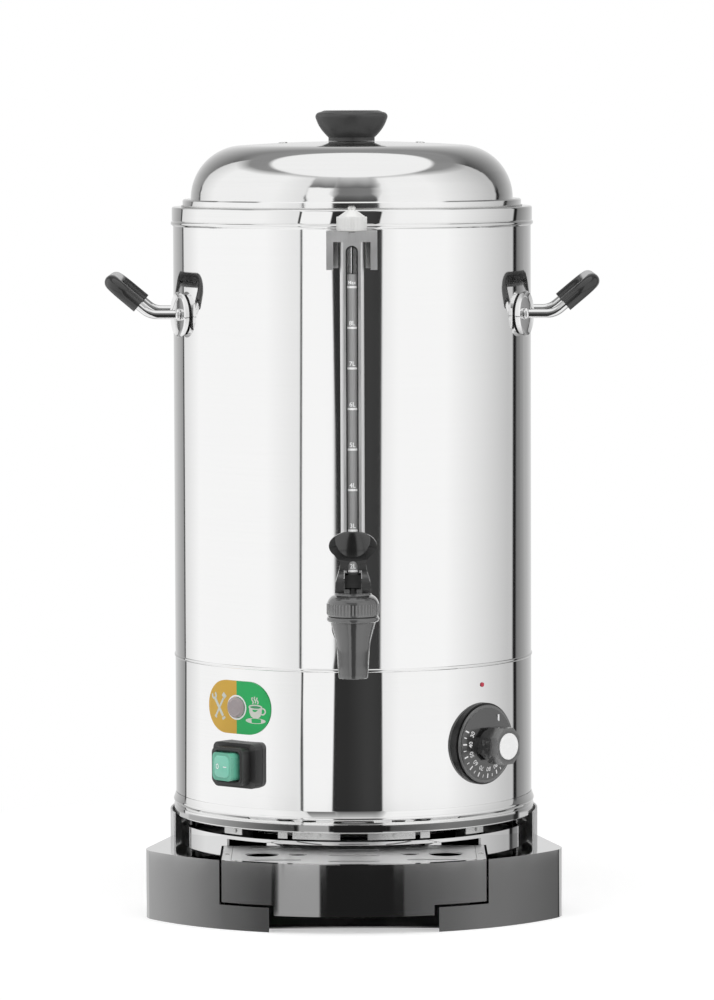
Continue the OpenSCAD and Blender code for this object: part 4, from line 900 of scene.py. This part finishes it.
# White paper: it shades near the object and fades into the white background
FLOOR_R, FLOOR_Z, PAPER_GLOW = 3.0, -0.0002, 0.34
PAPER_FADE, MIRRORED_FADE = (0.30, 0.52), (0.145, 0.165)
floor_mat = bpy.data.materials.new("floor_mat")
floor_mat.use_nodes = True
n = Nodes(floor_mat.node_tree)
camera_ray, glossy_ray, clear_ray = seen(n)
x, y, _ = n.axes()
reach = (x * x + y * y).root()
fade = reach.ramp(*PAPER_FADE).towards(reach.ramp(*MIRRORED_FADE), glossy_ray)
tone = n.mix(n.noise(n.place(), 3.0), grey(0.78), grey(0.80))
paper = n.add("ShaderNodeBsdfDiffuse", Color=tone)
glow = n.add("ShaderNodeEmission", Color=grey(1.0), Strength=PAPER_GLOW)
lit = n.add("ShaderNodeAddShader", n0=paper, n1=glow)
near = n.add("ShaderNodeMixShader", n0=(camera_ray + glossy_ray + clear_ray).clip(), n1=paper, n2=lit)
white = n.add("ShaderNodeEmission", Color=grey(1.0), Strength=1.0)
through = n.add("ShaderNodeBsdfTransparent")
far = n.add("ShaderNodeMixShader", n0=camera_ray, n1=through, n2=white)
shown = n.add("ShaderNodeMixShader", n0=fade, n1=near, n2=far)
n.add("ShaderNodeOutputMaterial", Surface=shown)
verts, faces = walls([[(r * math.cos(math.pi * i / 32), r * math.sin(math.pi * i / 32), FLOOR_Z)
                       for i in range(64)] for r in (FLOOR_R, 1.2, 0.6, 0.3, 0.15, 0.0)])
mesh = bpy.data.meshes.new("floor")
mesh.from_pydata(verts, [], faces)
mesh.materials.append(floor_mat)
floor = bpy.data.objects.new("floor", mesh)
bpy.context.scene.collection.objects.link(floor)

# The room that mirrors show: where its parts stand, in degrees to the left (negative) and right
WINDOW, ROOM, BACK = (-32.3, -12.9), (-12.9, 18.3), (-140, 127)
FRAMES = (-33.8, -32.3, 0.3), (-141, -138.6, 0.6), (126, 131, 1.0)
TABLE_WINDOW, TABLE_ROOM, TABLE_BACK = (-35.3, -15.7), (-15.7, 23.1), (131, 134)
TABLE_FRAMES = (-38.5, -36.5, 0.4), (124, 131, 1.5)
# Where the table starts and ends, in degrees downwards
TABLE_START, TABLE_END = (7.8, 8.0), (10.0, 11.0)
# How bright they are
WINDOW_LIGHT, OVERHEAD_LIGHT, FILL_LIGHT = 1.12, 1.02, 0.62
TABLE_WINDOW_LIGHT, TABLE_ROOM_LIGHT, TABLE_BACK_LIGHT = 0.363, 0.0147, 0.60

world = bpy.data.worlds.new("studio")
bpy.context.scene.world = world
world.use_nodes = True
n = Nodes(world.node_tree)
camera_ray, glossy_ray, clear_ray = seen(n)
x, y, z = n.axes(n.add("ShaderNodeTexCoord", output="Generated"))
# Degrees round the object, 0 towards the camera and positive to its right, and degrees upwards
turn = x.math("ARCTAN2", x, 0.0 - y) * (180.0 / math.pi)
lift = z.math("ARCSINE", z) * (180.0 / math.pi)
left, away, down = 0.0 - turn, turn.size(), 0.0 - lift

# Light by direction round the object: a panel on each side, a narrow window left of the camera, and
# the dark room where the camera stands
left_panel = 0.87 + 0.185 * left.ramp(38, 66) - 0.27 * left.ramp(112, 136)
right_panel = 0.89 + 0.14 * turn.ramp(18, 32) - 0.46 * turn.ramp(58, 119)
window = turn.band(*WINDOW, 0.4)
room = turn.band(*ROOM, 0.5 + 4.0 * lift.ramp(4, 14))
room_light = 0.030 + 0.018 * turn.band(2, 18, 6) + 0.17 * lift.ramp(-1.0, 12)
light = left_panel.towards(right_panel, turn.above(0)).towards(WINDOW_LIGHT, window).towards(room_light, room)
# Behind the object the room is grey, and lighter towards the middle of its back wall
behind = (0.20 + 0.62 * away.ramp(132, 180)) * (1.0 - 0.62 * lift.ramp(6, 44))
light = light.towards(behind, (turn.below(BACK[0]) + turn.above(BACK[1])).clip())
# Dark gaps where the panels and the window end
frames = (turn.band(*FRAMES[0]) + turn.band(*FRAMES[1]) + turn.band(*FRAMES[2])).clip()
light = light * (1.0 - 0.93 * frames * (1.0 - 0.85 * lift.ramp(6, 13)))
# Higher up, the panels end, a grey band follows, and a wide soft light hangs overhead
panel_top = 43.0 + 8.0 * (1.0 - away.ramp(60, 118))
upper = 0.24 + 0.10 * n.noise(n.add("ShaderNodeTexCoord", output="Generated"), 3.0)
light = light.towards(upper, (lift - panel_top).ramp(-5.0, 3.0))
light = light.towards(0.16 + 0.56 * lift.ramp(28, 53), (window + room).clip() * lift.ramp(25, 28))
light = light.towards(OVERHEAD_LIGHT, (z - 0.07 * y - 0.815).ramp(-0.012, 0.012))
# Just below the horizon is the dark table beyond the paper, with the window's and the panels' shine
shine_left = 0.077 + 0.075 * left.ramp(43, 63) + 0.28 * left.ramp(63, 111)
shine_right = 0.080 + 0.106 * turn.ramp(24, 61) - 0.065 * turn.ramp(77, 115)
table = shine_left.towards(shine_right, turn.above(0))
table = table.towards(TABLE_WINDOW_LIGHT, turn.band(*TABLE_WINDOW, 0.6))
table = table.towards(TABLE_ROOM_LIGHT, turn.band(*TABLE_ROOM, 0.6))
table = table * (1.0 - 0.8 * (turn.band(*TABLE_FRAMES[0]) + turn.band(*TABLE_FRAMES[1])).clip())
table = table.towards(TABLE_BACK_LIGHT, away.ramp(*TABLE_BACK))
light = light.towards(table, down.ramp(*TABLE_START) * (1.0 - down.ramp(*TABLE_END)))
mirror = n.add("ShaderNodeBackground", Color=n.mix(light, grey(0.0), grey(1.0)), Strength=1.0)
plain = n.add("ShaderNodeBackground", Color=grey(1.0), Strength=1.0)
soft = n.add("ShaderNodeBackground", Color=grey(1.0), Strength=FILL_LIGHT)
mixed = n.add("ShaderNodeMixShader", n0=glossy_ray, n1=soft, n2=mirror)
mixed = n.add("ShaderNodeMixShader", n0=(camera_ray + clear_ray).clip(), n1=mixed, n2=plain)
n.add("ShaderNodeOutputWorld", Surface=mixed)


def softbox(name, place, target, power, width, height):
    """A soft lamp that lights the scene without being seen in it."""
    data = bpy.data.lights.new(name, "AREA")
    data.shape = "RECTANGLE"
    data.size, data.size_y = width, height
    data.energy = power
    obj = bpy.data.objects.new(name, data)
    bpy.context.scene.collection.objects.link(obj)
    obj.location = place
    obj.rotation_euler = (Vector(target) - Vector(place)).to_track_quat("-Z", "Y").to_euler()
    obj.visible_glossy = False
    obj.visible_camera = False
    obj.visible_transmission = False


softbox("overhead_light", (0.0, -0.3, 2.3), (0, 0, 0.2), power=17.0, width=1.8, height=1.8)
softbox("left_light", (-2.2, -1.9, 1.5), (0, 0, 0.25), power=14.0, width=1.4, height=1.8)
softbox("right_light", (2.6, -1.2, 1.2), (0, 0, 0.25), power=15.0, width=1.4, height=1.8)

CAMERA_PLACE, CAMERA_LENS = (0.0028, -3.624, 0.538), 194.2
CAMERA_DOWN, CAMERA_ROLL = 4.26, -0.2
camera_data = bpy.data.cameras.new("camera")
camera_data.lens = CAMERA_LENS
camera_data.sensor_width = 36.0
camera = bpy.data.objects.new("camera", camera_data)
bpy.context.scene.collection.objects.link(camera)
camera.location = CAMERA_PLACE
camera.rotation_euler = (Matrix.Rotation(math.radians(90 - CAMERA_DOWN), 3, "X")
                         @ Matrix.Rotation(math.radians(CAMERA_ROLL), 3, "Z")).to_euler()
bpy.context.scene.camera = camera
bpy.context.scene.view_settings.view_transform = "Standard"

bpy.context.view_layer.update()
